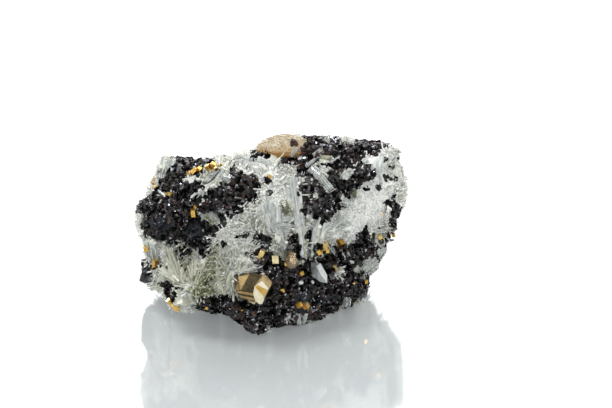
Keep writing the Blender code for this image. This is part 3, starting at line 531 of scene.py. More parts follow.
class Cluster:
    """Shapes gathered into one mesh, in millimetres of the front view.

    Each face has a tone, from 0 to 1, and each corner how far along its crystal it lies.
    """

    def __init__(self):
        """Starts empty."""
        self.corners, self.faces, self.tones, self.reaches = [], [], [], []
        self.count = 0

    def add(self, corners, faces, tones, reaches):
        """Adds corners (N, 3), arrays of faces, the tones of each array, and the corners' reaches."""
        self.faces += [np.asarray(group) + self.count for group in faces]
        self.tones += [np.broadcast_to(tone, len(group)) for tone, group in zip(tones, faces)]
        self.corners.append(corners)
        self.reaches.append(np.broadcast_to(reaches, len(corners)))
        self.count += len(corners)

    def grow(self, form, places, axes, rolls, sizes, tones):
        """Adds a copy of a form at each place: scaled, turned onto its axis and moved.

        A copy that would dip into the floor is left out.
        """
        turned = (form.corners[None] * sizes[:, None]) @ crystal_frames(axes, rolls)
        corners = places[:, None] + turned
        kept = height(corners).min(axis=1) > FLOOR_CLEARANCE
        corners, tones = corners[kept], tones[kept]
        number = len(corners)
        firsts = np.arange(number)[:, None, None] * len(form.corners)
        faces = [(group[None] + firsts).reshape(-1, group.shape[1]) for group in form.faces]
        spread = [np.repeat(tones, len(group)) for group in form.faces]
        self.add(corners.reshape(-1, 3), faces, spread, np.tile(form.reach, number))

    def add_hull(self, corners, faces_toward):
        """Adds the flat-faced form round corners.

        A face takes the tone of the direction that it looks most along, which is how light and shade are painted
        on the faces.
        """
        hull = bmesh.new()
        for corner in corners:
            hull.verts.new(corner)
        bmesh.ops.convex_hull(hull, input=hull.verts, use_existing_faces=False)
        bmesh.ops.delete(hull, geom=[vert for vert in hull.verts if not vert.link_faces], context="VERTS")
        bmesh.ops.recalc_face_normals(hull, faces=hull.faces)
        hull.verts.index_update()
        directions = unit(np.array([direction for direction, _ in faces_toward]))
        tones = np.array([tone for _, tone in faces_toward])
        normals = np.array([face.normal for face in hull.faces])
        triangles = np.array([[vert.index for vert in face.verts] for face in hull.faces])
        places = np.array([vert.co for vert in hull.verts])
        hull.free()
        self.add(places, [triangles], [tones[(normals @ directions.T).argmax(axis=1)]], 0.5)

    def add_grid(self, points, tone=0.5, reaches=None, closed=False):
        """Adds a grid of points (rows, columns, 3) as quads; closed joins its last column to the first."""
        rows, columns = points.shape[:2]
        order = np.arange(rows * columns).reshape(rows, columns)
        if closed:
            order = np.concatenate((order, order[:, :1]), axis=1)
        quads = np.stack((order[:-1, :-1], order[:-1, 1:], order[1:, 1:], order[1:, :-1]), axis=-1)
        faces = [quads.reshape(-1, 4)]
        if closed:
            faces += [order[:1, -2::-1], order[-1:, :-1]]
        reach = 0.0 if reaches is None else np.repeat(reaches, columns)
        self.add(points.reshape(-1, 3), faces, [tone] * len(faces), reach)

    def piece(self, name, material, replaces=()):
        """Makes the mesh, with its place in its points, and fits it to the frame."""
        mesh = bpy.data.meshes.new(name)
        corners = np.concatenate(self.corners)
        sizes = np.concatenate([np.full(len(group), group.shape[1]) for group in self.faces])
        loops = np.concatenate([group.ravel() for group in self.faces])
        mesh.vertices.add(len(corners))
        mesh.vertices.foreach_set("co", to_frame(corners).astype(np.float32).ravel())
        mesh.loops.add(len(loops))
        mesh.loops.foreach_set("vertex_index", loops.astype(np.int32))
        mesh.polygons.add(len(sizes))
        mesh.polygons.foreach_set("loop_start", (np.cumsum(sizes) - sizes).astype(np.int32))
        mesh.update(calc_edges=True)
        tone = mesh.attributes.new("tone", "FLOAT", "FACE")
        tone.data.foreach_set("value", np.concatenate(self.tones).astype(np.float32))
        reach = mesh.attributes.new("reach", "FLOAT", "POINT")
        reach.data.foreach_set("value", np.concatenate(self.reaches).astype(np.float32))
        mesh.validate()
        mesh.shade_flat()
        return fitted(mesh, name, material, replaces)


def fitted(mesh, name, material, replaces=()):
    """An object for a mesh: it takes its material, rides on the rock and stands for its solids."""
    made = bpy.data.objects.new(name, mesh)
    bpy.context.scene.collection.objects.link(made)
    made.data.materials.append(material)
    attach(made, BODY)
    if replaces:
        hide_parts(*replaces)
    return made


class Wire:
    """A socket in a shader sum: operators between wires and numbers add Math nodes."""

    def __init__(self, finish, socket):
        """Wraps an output socket of a finish."""
        self.finish = finish
        self.socket = socket

    def maths(self, operation, first, second=0.0):
        """A Math node with this operation on two wires or numbers."""
        return self.finish.node("ShaderNodeMath", {"operation": operation}, {0: first, 1: second})

    def __add__(self, other):
        return self.maths("ADD", self, other)

    def __sub__(self, other):
        return self.maths("SUBTRACT", self, other)

    def __rsub__(self, other):
        return self.maths("SUBTRACT", other, self)

    def __mul__(self, other):
        return self.maths("MULTIPLY", self, other)

    def fraction(self):
        """What a value has past its whole number."""
        return self.maths("FRACT", self)

    __radd__ = __add__
    __rmul__ = __mul__


class Finish:
    """A node tree under one name, with one method for every node."""

    def __init__(self, name, owner=None):
        """Starts the empty tree of a new material, or of another owner such as the world."""
        self.owner = owner or bpy.data.materials.new(name)
        self.owner.use_nodes = True
        self.tree = self.owner.node_tree
        self.tree.nodes.clear()

    def node(self, kind, settings=None, values=None, output=0):
        """Adds a node of this type: its settings come first, then its sockets. Gives an output as a wire."""
        made = self.tree.nodes.new(kind)
        for key, value in (settings or {}).items():
            if key == "stops":
                self.set_stops(made.color_ramp, value)
            elif key == "blend":
                made.color_ramp.interpolation = value
            else:
                setattr(made, key, value)
        for key, value in (values or {}).items():
            if isinstance(value, Wire):
                self.tree.links.new(value.socket, made.inputs[key])
            else:
                made.inputs[key].default_value = value
        return Wire(self, made.outputs[output])

    @staticmethod
    def set_stops(ramp, stops):
        """Gives a ramp its stops: a place from 0 to 1 and a colour each."""
        while len(ramp.elements) < len(stops):
            ramp.elements.new(1.0)
        for element, (place, colour) in zip(ramp.elements, stops):
            element.position = place
            element.color = (*colour, 1.0) if len(colour) == 3 else colour

    def ramp(self, factor, stops, blend="LINEAR"):
        """A colour for each value of a wire."""
        return self.node("ShaderNodeValToRGB", {"stops": stops, "blend": blend}, {0: factor})

    def level(self, factor, stops, blend="LINEAR"):
        """A number for each value of a wire."""
        return self.ramp(factor, [(place, (value,) * 3) for place, value in stops], blend)

    def mixed(self, factor, first, second, mode="MIX"):
        """Two colours mixed."""
        settings = {"data_type": "RGBA", "blend_type": mode}
        return self.node("ShaderNodeMix", settings, {0: factor, 6: first, 7: second}, output=2)

    def place(self, scale=(1.0, 1.0, 1.0)):
        """Object coordinates, stretched."""
        spot = self.node("ShaderNodeTexCoord", output=3)
        return self.node("ShaderNodeMapping", {}, {"Vector": spot, "Scale": scale})

    def noise(self, size, detail=2.0, roughness=0.5, stretch=(1.0, 1.0, 1.0)):
        """Noise from 0 to 1 whose lumps are about this many millimetres wide."""
        values = {"Vector": self.place(stretch), "Scale": 1.0 / (size * MM), "Detail": detail,
                  "Roughness": roughness}
        return self.node("ShaderNodeTexNoise", {}, values)

    def attribute(self, name):
        """A value that the piece's own mesh carries."""
        return self.node("ShaderNodeAttribute", {"attribute_name": name}, output=2)

    def bump(self, relief, distance, strength=1.0):
        """A normal tilted by a relief of this height in millimetres."""
        values = {"Height": relief, "Distance": distance * MM, "Strength": strength}
        return self.node("ShaderNodeBump", {}, values)

    def principled(self, **values):
        """A Principled shader: each keyword names a socket, with _ for a space."""
        named = {key.replace("_", " "): value for key, value in values.items()}
        for key, value in named.items():
            if key.endswith("Color") and isinstance(value, tuple):
                named[key] = (*value, 1.0)
        return self.node("ShaderNodeBsdfPrincipled", {}, named)

    def done(self, surface, volume=None):
        """Puts the shader on the surface, and another in the volume."""
        values = {"Surface": surface}
        if volume:
            values["Volume"] = volume
        self.node_without_output("ShaderNodeOutputMaterial", values)
        return self.owner

    def node_without_output(self, kind, values):
        """Adds a node that only takes wires."""
        made = self.tree.nodes.new(kind)
        for key, value in values.items():
            self.tree.links.new(value.socket, made.inputs[key])


class SPECIMEN_PG_sizes(bpy.types.PropertyGroup):
    """How large and how close the small crystals are."""

    skin_cell: bpy.props.FloatProperty(
        name="Skin cell", description="Longest edge of the rock's own fine surface, in millimetres",
        default=0.9, min=0.3, max=3.0)
    skin_relief: bpy.props.FloatProperty(
        name="Skin relief", description="How far the fine surface strays, in millimetres",
        default=0.28, min=0.0, max=1.0)
    galena_spacing: bpy.props.FloatProperty(
        name="Galena spacing", description="Distance between dark crystals, in millimetres",
        default=0.76, min=0.4, max=3.0)
    galena_size: bpy.props.FloatProperty(
        name="Galena size", description="Half the width of a usual dark crystal, in millimetres",
        default=0.54, min=0.2, max=2.0)
    needle_spacing: bpy.props.FloatProperty(
        name="Needle spacing", description="Distance between quartz needles, in millimetres",
        default=0.60, min=0.3, max=3.0)
    needle_length: bpy.props.FloatProperty(
        name="Needle length", description="Length of a usual quartz needle, in millimetres",
        default=1.9, min=0.3, max=6.0)
    needle_width: bpy.props.FloatProperty(
        name="Needle width", description="Half the width of a usual quartz needle, in millimetres",
        default=0.19, min=0.05, max=1.0)
    sugar_spacing: bpy.props.FloatProperty(
        name="Sugar spacing", description="Distance between the short quartz grains, in millimetres",
        default=0.70, min=0.3, max=3.0)
    stub_spacing: bpy.props.FloatProperty(
        name="Stub spacing", description="Distance between the larger crystals in the druse, in millimetres",
        default=1.9, min=0.5, max=8.0)
    sugar_width: bpy.props.FloatProperty(
        name="Sugar width", description="Half the width of a short quartz grain, in millimetres",
        default=0.40, min=0.05, max=1.0)
    tuft_spacing: bpy.props.FloatProperty(
        name="Tuft spacing", description="Distance between the middles of the needle tufts, in millimetres",
        default=4.6, min=1.0, max=12.0)


class SPECIMEN_PG_colours(bpy.types.PropertyGroup):
    """The minerals' colours."""

    galena: bpy.props.FloatVectorProperty(
        name="Galena", description="The dark crystals", subtype="COLOR", size=3,
        default=(0.0014, 0.0012, 0.0016), min=0.0, max=1.0)
    galena_smooth: bpy.props.FloatVectorProperty(
        name="Smooth galena", description="The smooth blue-grey patches", subtype="COLOR", size=3,
        default=(0.020, 0.024, 0.032), min=0.0, max=1.0)
    rust: bpy.props.FloatVectorProperty(
        name="Rust", description="The red-brown grains among the dark crystals", subtype="COLOR", size=3,
        default=(0.10, 0.045, 0.028), min=0.0, max=1.0)
    quartz_tip: bpy.props.FloatVectorProperty(
        name="Quartz tip", description="The needles' pale ends", subtype="COLOR", size=3,
        default=(0.94, 0.95, 0.91), min=0.0, max=1.0)
    # The needles' feet: greenish and dark, painted shade in the depths between the needles.
    quartz_shaded_foot: bpy.props.FloatVectorProperty(
        name="Quartz foot", description="The greenish depths between needles", subtype="COLOR", size=3,
        default=(0.185, 0.20, 0.10), min=0.0, max=1.0)
    pyrite: bpy.props.FloatVectorProperty(
        name="Pyrite", description="Fresh gold faces", subtype="COLOR", size=3,
        default=(0.84, 0.55, 0.14), min=0.0, max=1.0)
    # Bronze: tarnish, and also painted shade on pyrite faces that look away from the light.
    bronze: bpy.props.FloatVectorProperty(
        name="Bronze", description="Tarnished pyrite", subtype="COLOR", size=3,
        default=(0.46, 0.25, 0.05), min=0.0, max=1.0)
    calcite: bpy.props.FloatVectorProperty(
        name="Calcite", description="The tan dome", subtype="COLOR", size=3,
        default=(0.44, 0.37, 0.25), min=0.0, max=1.0)
    stain: bpy.props.FloatVectorProperty(
        name="Stain", description="The orange-brown underside of the dome", subtype="COLOR", size=3,
        default=(0.36, 0.19, 0.035), min=0.0, max=1.0)


class SPECIMEN_PG_stage(bpy.types.PropertyGroup):
    """The camera, floor and lights."""

    lens: bpy.props.FloatProperty(
        name="Lens", description="Focal length of the camera", default=150.0, unit="CAMERA")
    frame_width: bpy.props.FloatProperty(
        name="Frame width", description="How wide the picture is at the specimen, in millimetres",
        default=183.6, min=50.0, max=1000.0)
    floor_size: bpy.props.FloatProperty(
        name="Floor size", description="Side of the floor", default=6.0, unit="LENGTH")
    floor_tone: bpy.props.FloatProperty(
        name="Floor tone", description="How pale the floor is", default=0.42, min=0.0, max=1.0)
    floor_gloss: bpy.props.FloatProperty(
        name="Floor gloss", description="Refractive index of the floor's polish",
        default=2.5, min=1.0, max=4.0)
    floor_glow: bpy.props.FloatProperty(
        name="Floor glow", description="Light that the floor gives by itself", default=0.19, min=0.0, max=2.0)
    room: bpy.props.FloatProperty(
        name="Room light", description="Light from all round", default=0.6, min=0.0, max=10.0)
    backdrop: bpy.props.FloatProperty(
        name="Backdrop light", description="Light from behind the specimen", default=3.0, min=0.0, max=10.0)
    key: bpy.props.FloatProperty(
        name="Key light", description="Power of the main lamp", default=3.6, min=0.0, unit="POWER")
    side: bpy.props.FloatProperty(
        name="Side light", description="Power of the small lamps that make the crystals sparkle",
        default=0.8, min=0.0, unit="POWER")


def sizes():
    """The scene's sizes."""
    return bpy.context.scene.specimen_sizes


def colours():
    """The scene's colours."""
    return bpy.context.scene.specimen_colours


def lights():
    """The scene's camera, floor and lights."""
    return bpy.context.scene.specimen_stage


def rock_finish():
    """The bed under the crystals: reach is 0 on galena, 1 on quartz, and 0.5 on smooth galena."""
    finish = Finish("rock_bed")
    mineral = finish.attribute("reach")
    grains = finish.noise(0.5, 3.0, 0.6)
    white = finish.attribute("tone") * 0.9 + grains * 0.5 - 0.2
    pale = finish.ramp(white, [
        (0.0, (0.08, 0.085, 0.045)), (0.35, (0.42, 0.44, 0.36)), (0.9, (0.90, 0.91, 0.86))])
    dark = finish.ramp(grains, [(0.35, (0.001, 0.001, 0.001)), (0.8, (0.010, 0.008, 0.008))])
    smooth = finish.ramp(finish.noise(2.5), [
        (0.3, (0.007, 0.008, 0.010)), (0.7, tuple(colours().galena_smooth))])
    of_quartz = finish.level(mineral, [(0.74, 0.0), (0.80, 1.0)])
    of_smooth = finish.level(mineral, [(0.20, 0.0), (0.40, 1.0), (0.60, 1.0), (0.72, 0.0)])
    colour = finish.mixed(of_smooth, finish.mixed(of_quartz, dark, pale), smooth)
    shader = finish.principled(
        Base_Color=colour, Metallic=of_smooth * 0.7, Roughness=0.38 + of_quartz * 0.2 - of_smooth * 0.12,
        Normal=finish.bump(grains, 0.12))
    return finish.done(shader)


# Tones of the dark crystals: lead grey lies between the first two, and small rust grains and pale grains, which
# are painted highlights, over the third.
GREY_TONES = (0.46, 0.54)
GRAIN_TONE = 0.73


def galena_finish():
    """Dark glittering faces: each crystal's tone picks black, brown, rust, lead grey or a pale grain, which is a
    painted highlight.
    """
    finish = Finish("galena")
    tone = finish.attribute("tone")
    dark = tuple(colours().galena)
    grey, brown = GREY_TONES
    colour = finish.ramp(tone, [
        (0.0, dark), (grey, (0.11, 0.11, 0.122)), (brown, (0.016, 0.011, 0.010)),
        (0.63, (0.048, 0.034, 0.030)), (GRAIN_TONE, tuple(colours().rust)), (0.76, (0.38, 0.39, 0.43)),
        # From 0.94 a pale grain: a painted highlight, a white speck that stands in for a glint.
        (0.89, (0.22, 0.21, 0.24)), (0.94, (0.62, 0.62, 0.63)),
    ], "CONSTANT")
    metal = finish.level(tone, [
        (0.0, 0.0), (grey, 0.5), (brown, 0.0), (0.76, 0.95), (0.89, 0.0)], "CONSTANT")
    polish = (tone * 61.0).fraction()
    gloss = finish.level(polish, [(0.0, 0.0), (0.55, 0.6)], "CONSTANT")
    lines = finish.noise(0.25, 2.0)
    shader = finish.principled(
        Base_Color=colour, Metallic=metal, Roughness=0.05 + polish * 0.2, IOR=1.12, Coat_Weight=gloss,
        Coat_Roughness=0.05, Normal=finish.bump(lines, 0.02, 0.5))
    return finish.done(shader)


def druse_finish():
    """Pale needles: greenish and dark at their feet, as painted shade in the depths between them, and white and
    glassy toward their tips.
    """
    finish = Finish("quartz_druse")
    reach = finish.attribute("reach")
    tone = finish.attribute("tone")
    patches = finish.noise(5.0, 2.0)
    # Reach paints shade: each needle is darker and greener toward its foot and paler toward its tip; tone and
    # patches vary its whiteness.
    share = reach * 0.35 + tone * 0.95 + patches * 0.55 - 0.42
    colour = finish.mixed(finish.level(share, [(0.0, 0.0), (1.0, 1.0)]), (*colours().quartz_shaded_foot, 1.0),
                          (*colours().quartz_tip, 1.0))
    shader = finish.principled(
        Base_Color=colour, Roughness=0.24 + tone * 0.2, IOR=1.45, Subsurface_Weight=0.7,
        Subsurface_Radius=(1.0, 1.0, 0.9), Subsurface_Scale=0.0013)
    return finish.done(shader)


# The darker and the paler colour of milky streaks in quartz.
GREY_CLOUD = ((0.46, 0.50, 0.48, 1.0), (0.76, 0.78, 0.76, 1.0))
CREAM_CLOUD = ((0.42, 0.42, 0.31, 1.0), (0.80, 0.79, 0.67, 1.0))
OLIVE_CLOUD = ((0.20, 0.20, 0.12, 1.0), (0.36, 0.36, 0.26, 1.0))


def prism_finish(name, tint, density, cloudy=GREY_CLOUD):
    """Glassy quartz with milky streaks, whiter by its tone: plain transmission, index and absorption."""
    finish = Finish(name)
    milk = finish.attribute("tone")
    streaks = finish.noise(0.9, 3.0, 0.6, (1.0, 1.0, 0.25))
    glass = finish.principled(
        Base_Color=(0.96, 0.98, 0.97), Roughness=0.05, IOR=1.544, Transmission_Weight=1.0,
        Normal=finish.bump(finish.noise(0.5, 2.0), 0.03, 0.6))
    cloud = finish.principled(
        Base_Color=finish.mixed(streaks, *cloudy), Roughness=0.22,
        IOR=1.544, Normal=finish.bump(streaks, 0.05))
    factor = finish.level(milk * 0.8 + streaks * 0.9 - 0.25, [(0.0, 0.0), (1.0, 1.0)])
    surface = finish.node("ShaderNodeMixShader", {}, {0: factor, 1: glass, 2: cloud})
    volume = finish.node("ShaderNodeVolumeAbsorption", {}, {"Color": (*tint, 1.0), "Density": density})
    return finish.done(surface, volume)


def pyrite_finish(name, stops, roughness=0.2, relief=0.02):
    """Metal with tarnish in patches and growth lines; the stops give its colour by each face's tone, which paints
    light and shade on the faces.
    """
    finish = Finish(name)
    stain = finish.noise(1.2, 3.0, 0.6)
    colour = finish.ramp(finish.attribute("tone") + stain * 0.4 - 0.2, stops)
    shader = finish.principled(
        Base_Color=colour, Metallic=1.0, Roughness=roughness + stain * 0.2,
        Normal=finish.bump(finish.noise(0.3, 2.0, 0.5, (1.0, 0.35, 1.0)), relief, 0.7))
    return finish.done(shader)


def calcite_finish():
    """Tan granular mineral, stained orange-brown below."""
    finish = Finish("calcite")
    spot = finish.node("ShaderNodeTexCoord", output=3)
    up = finish.node("ShaderNodeVectorMath", {"operation": "DOT_PRODUCT"},
                     {0: spot, 1: tuple(VIEW_AXES[1])}, output=1)
    base = (SHIFT @ VIEW_AXES[1]) * MM
    level = (up - base) * (1.0 / MM)
    grains = finish.noise(0.45, 3.0, 0.65)
    lumps = finish.noise(2.6, 2.0)
    tan = finish.ramp(grains, [(0.25, (0.24, 0.17, 0.09)), (0.5, tuple(colours().calcite)),
                               (0.8, (0.62, 0.57, 0.44))])
    stained = finish.level((level - 54.2) * 0.24 + lumps * 1.1 - 0.40, [(0.0, 1.0), (0.7, 0.0)])
    colour = finish.mixed(stained, tan, (*colours().stain, 1.0))
    shader = finish.principled(Base_Color=colour, Roughness=0.42, Coat_Weight=0.25, Coat_Roughness=0.2,
                               Normal=finish.bump(grains, 0.10))
    return finish.done(shader)


# The bed's fine surface: how often its long edges are halved, its noises (share, size in millimetres, seed),
# and up to which height over the floor it is calmer.
HALVINGS = 4
SKIN_NOISES = [(0.6, 2.4, 1), (0.4, 0.9, 2)]
CALM_HEIGHT = 2.0


def skin_of(name):
    """A solid's own surface made finer: long edges are halved, and points stray along their normals by noise.

    Gives corners (N, 3) and their normals in the front view, and triangles.
    """
    mesh = bmesh.new()
    mesh.from_mesh(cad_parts[name].data)
    bmesh.ops.remove_doubles(mesh, verts=mesh.verts, dist=MERGE)
    for _ in range(HALVINGS):
        long_edges = [edge for edge in mesh.edges if edge.calc_length() > sizes().skin_cell * MM]
        if not long_edges:
            break
        bmesh.ops.subdivide_edges(mesh, edges=long_edges, cuts=1)
        bmesh.ops.triangulate(mesh, faces=[face for face in mesh.faces if len(face.verts) > 3])
    fine = bpy.data.meshes.new("fine")
    mesh.to_mesh(fine)
    mesh.free()
    corners = drawn_in(to_view(vertex_values(fine, "co")))
    normals = vertex_values(fine, "normal") @ VIEW_AXES.T
    order = np.empty(len(fine.polygons) * 3, np.int32)
    fine.polygons.foreach_get("vertices", order)
    bpy.data.meshes.remove(fine)
    relief = sum(share * ripple(corners, size, seed) for share, size, seed in SKIN_NOISES)
    low = np.clip(height(corners) / CALM_HEIGHT, 0.0, 1.0)
    corners = corners + normals * (relief * sizes().skin_relief * low)[:, None]
    sunk = np.minimum(height(corners), 0.0)
    corners = corners - np.outer(sunk, VIEW_AXES[:, 2])
    return corners, normals, order.reshape(-1, 3)


def bed_mineral(corners, normals, on_crust):
    """The bed's mineral at each corner: 0 galena, 0.5 smooth galena, 1 quartz."""
    pale = is_pale(corners, normals, np.full(len(corners), on_crust))
    return np.where(pale, 1.0, np.where(is_smooth(corners, normals), 0.5, 0.0))


def scattered(seed, spacing):
    """Points on the rock and the crusts, their normals, and whether they show quartz or smooth galena."""
    points, normals, on_crust = ALL_SOLIDS.scatter([ROCK, *CRUSTS], spacing, seed)
    return points, normals, is_pale(points, normals, on_crust), is_smooth(points, normals)


def tilted(normals, spread, rng):
    """Directions near the normals: each plus a random vector of this size."""
    return unit(normals + rng.normal(0.0, spread, normals.shape))


class SPECIMEN_OT_rock(bpy.types.Operator):
    """Cover the quartz rock and the crusts with their own fine beds"""

    bl_idname = "specimen.rock"
    bl_label = "Rock and crust beds"

    def execute(self, context):
        finish = rock_finish()
        for name in (ROCK, *CRUSTS):
            bed = Cluster()
            corners, normals, triangles = skin_of(name)
            mineral = bed_mineral(corners, normals, name in CRUSTS)
            middles = corners[triangles].mean(axis=1)
            white = needle_kinds(middles, normals[triangles[:, 0]])[2]
            bed.add(corners, [triangles], [white], mineral)
            bed.piece(f"{name}_bed", finish, replaces=[name])
        return {"FINISHED"}


# Where dark crystals differ: across, up, radius, their size, and the lowest and highest tone.
GALENA_KINDS = [
    (3.0, 9.0, 12.0, 1.0, 0.28, 1.00), (18.0, 17.0, 8.0, 1.0, 0.10, 0.97),
    (-30.0, 38.0, 9.0, 0.9, 0.0, 0.90), (15.0, 57.5, 5.5, 1.4, 0.56, 0.92),
    (28.0, 56.5, 7.0, 0.9, 0.34, 0.98), (8.5, 53.5, 4.5, 1.3, 0.36, 0.84),
    (10.5, 45.0, 3.2, 1.1, 0.45, 0.98), (13.4, 41.0, 3.0, 1.0, 0.30, 0.98),
    (27.0, 47.6, 4.0, 0.9, 0.15, 0.98), (19.5, 47.5, 2.6, 1.2, 0.50, 0.82),
    (-8.0, 44.5, 4.5, 1.1, 0.36, 0.80), (24.5, 15.0, 6.5, 0.9, 0.20, 1.00),
    (13.0, 4.6, 4.5, 1.0, 0.40, 0.95), (-11.0, 8.6, 3.5, 1.3, 0.30, 0.86),
    (33.5, 28.5, 5.0, 1.0, 0.30, 0.96), (29.0, 22.0, 4.0, 1.1, 0.60, 1.00),
]
GALENA_FORMS = (OCTAHEDRON, BLOCK, WEDGE, GRAIN)
# How much of what a kind covers takes its tone, and how much of the smooth galena stays bare.
KIND_SHARE = 0.7
SMOOTH_BARE = 0.6
# The sizes of grains, of lead-grey crystals and of those at the rim, as shares of the others'.
GRAIN_SIZE = 0.62
GREY_SIZE = 0.7
RIM_SIZE = 0.85
# The smallest and the largest half width in millimetres, and how far the crystals lean by chance.
GALENA_LIMITS = (0.26, 1.4)
GALENA_TILT = 0.9


class SPECIMEN_OT_galena(bpy.types.Operator):
    """Grow dark glittering crystals over the crusts and in spots on the quartz"""

    bl_idname = "specimen.galena"
    bl_label = "Galena crystals"

    def execute(self, context):
        rng = np.random.default_rng(11)
        points, normals, pale, smooth = scattered(21, sizes().galena_spacing)
        bare = smooth & (rng.random(len(points)) < SMOOTH_BARE)
        wanted = ~pale & ~bare & ~near_blocks(points, normals)
        points, normals = points[wanted], normals[wanted]
        count = len(points)
        radius = sizes().galena_size * rng.lognormal(0.0, 0.30, count)
        tones = rng.random(count) ** 1.25 * 0.97
        for across, up, reach, size, lowest, highest in GALENA_KINDS:
            near = (points[:, 0] - across) ** 2 + (points[:, 1] - up) ** 2 < reach ** 2
            near &= normals[:, 2] > FRONT_FACING
            radius[near] *= size
            fresh = lowest + (highest - lowest) * rng.random(count)
            changed = near & (rng.random(count) < KIND_SHARE)
            tones[changed] = fresh[changed]
        grey = (tones > GREY_TONES[0]) & (tones < GREY_TONES[1])
        inside = in_polygon(widened(OUTLINE, RIM_INSIDE), points[:, :2])
        radius = np.where(tones > GRAIN_TONE, radius * GRAIN_SIZE, radius)
        radius = np.where(grey, radius * GREY_SIZE, radius)
        radius = np.where(inside, radius, radius * RIM_SIZE)
        radius = np.clip(radius, *GALENA_LIMITS)
        axes = tilted(normals, GALENA_TILT, rng)
        rolls = rng.uniform(0.0, 2.0 * math.pi, count)
        shape = radius[:, None] * rng.uniform(0.75, 1.2, (count, 3))
        raised = points + normals * (radius * rng.uniform(0.0, 0.5, count))[:, None]
        places = kept_inside(raised, radius * 0.6)
        kinds = rng.integers(0, len(GALENA_FORMS), count)
        behind = normals[:, 2] < 0.0
        for side, hidden in (("front", False), ("back", True)):
            crystals = Cluster()
            for kind, form in enumerate(GALENA_FORMS):
                chosen = (kinds == kind) & (behind == hidden)
                crystals.grow(form, places[chosen], axes[chosen], rolls[chosen], shape[chosen], tones[chosen])
            crystals.piece(f"galena_crystals_{side}", galena_finish())
        return {"FINISHED"}


# Where the needles differ: across, up, radius, then their length, width and whiteness.
NEEDLE_KINDS = [
    (-12.0, 22.0, 9.0, 1.4, 0.9, 0.34), (-24.0, 17.0, 8.0, 1.3, 1.6, -0.10),
    (-8.0, 33.0, 7.0, 1.2, 0.8, 0.60), (29.0, 38.0, 7.0, 0.40, 1.3, 1.30),
    (34.0, 42.0, 7.0, 0.55, 1.3, 1.25), (31.0, 50.5, 6.0, 0.4, 1.5, 1.20),
    (0.0, 46.0, 7.0, 0.7, 1.6, 0.85), (22.0, 32.4, 6.0, 0.45, 0.8, 1.20),
    (-37.0, 33.0, 5.0, 0.8, 1.2, 0.70), (38.0, 49.0, 5.0, 0.5, 1.4, 0.55),
    (-6.0, 52.0, 5.0, 0.7, 1.8, 0.80), (-18.6, 16.0, 4.0, 0.9, 1.2, -0.50), (8.0, 33.0, 3.0, 0.8, 1.2, 0.40),
    (-18.4, 23.0, 2.4, 0.8, 1.2, -0.50), (4.2, 37.2, 2.4, 0.3, 1.2, -0.20), (-8.4, 24.4, 3.4, 1.0, 0.8, 0.80),
    (-24.4, 14.0, 3.0, 1.0, 1.0, 0.55), (0.6, 40.4, 3.0, 0.8, 1.2, 1.00), (-14.0, 17.4, 3.0, 1.2, 0.9, 0.15),
    (-25.6, 24.6, 2.6, 1.0, 1.0, 0.05), (-30.4, 19.4, 3.0, 1.0, 1.0, 0.50), (35.6, 33.4, 2.6, 0.5, 1.4, 0.35),
    (6.6, 24.6, 3.0, 0.6, 1.0, -0.30), (40.0, 41.0, 4.0, 1.4, 1.0, 0.60), (-20.6, 22.4, 2.6, 1.0, 1.0, 0.60),
    (-12.0, 28.0, 4.0, 0.8, 0.9, 0.75), (-31.0, 21.6, 2.4, 1.0, 1.0, 0.60),
    (-16.6, 25.0, 2.0, 1.0, 1.0, -0.10), (-18.0, 35.0, 3.4, 0.5, 1.2, 0.05),
    (26.0, 24.6, 3.4, 0.7, 1.0, 0.20), (-21.0, 11.4, 3.0, 0.8, 1.4, 0.20),
]
# The sprays that can be told apart: across and up of the middle that the needles spread from.
SPRAY_MIDDLES = [
    (-28.3, 16.2), (-22.5, 15.0), (-15.5, 13.6), (-8.7, 22.5), (-5.0, 32.0), (-14.0, 22.0), (-20.0, 20.0),
    (0.5, 44.0), (4.5, 41.5), (15.2, 30.2), (-36.0, 24.0), (30.0, 36.0), (-8.0, 37.0), (-2.0, 36.0),
]
# How many of the needles the back keeps.
BACK_SHARE = 0.7
# Where needles are shorter than this share fewer of them grow, down to the least.
SPARSE_BELOW = 0.42
SPARSE_SLOPE = 3.0
SPARSE_LEAST = 0.04
# A needle's way: how much of its own normal, its spray's, its way out of the spray and chance it holds.
NEEDLE_WAY = (0.45, 0.3, 1.7, 0.2)
# The shortest and the longest needle, stub and grain, and the stubs' half widths, in millimetres.
NEEDLE_LENGTHS = (0.5, 4.5)
STUB_LENGTHS = (1.2, 2.6)
GRAIN_LENGTHS = (0.7, 1.3)
STUB_WIDTHS = (0.32, 0.62)
# How deep under the surface they start.
NEEDLE_DEPTH = 0.3
STUB_DEPTH = 0.4
GRAIN_DEPTH = 0.25
# The share of a large prism's width that each leaves free on either side of its middle.
NEEDLE_SPARE = 0.62
STUB_SPARE = 0.6
GRAIN_SPARE = 0.42
# The tan dome: across, up, and its half width and half height in the view.
DOME_PLACE = (4.4, 54.9)
DOME_HALF = (8.7, 4.6)


def may_grow(points, normals, pale, spare):
    """Whether small quartz grows at points: pale ones that no dome, large prism or block covers."""
    covered = on_dome(points, normals) | near_prisms(points, normals, spare) | near_blocks(points, normals)
    return pale & ~covered


def front_and_back(name, form, finish, normals, copies):
    """Two pieces of a form's copies, for what looks to the front and to the back.

    The copies are their places, axes, rolls, sizes and tones.
    """
    behind = normals[:, 2] < 0.0
    for side, chosen in (("front", ~behind), ("back", behind)):
        cluster = Cluster()
        cluster.grow(form, *(values[chosen] for values in copies))
        cluster.piece(f"{name}_{side}", finish)


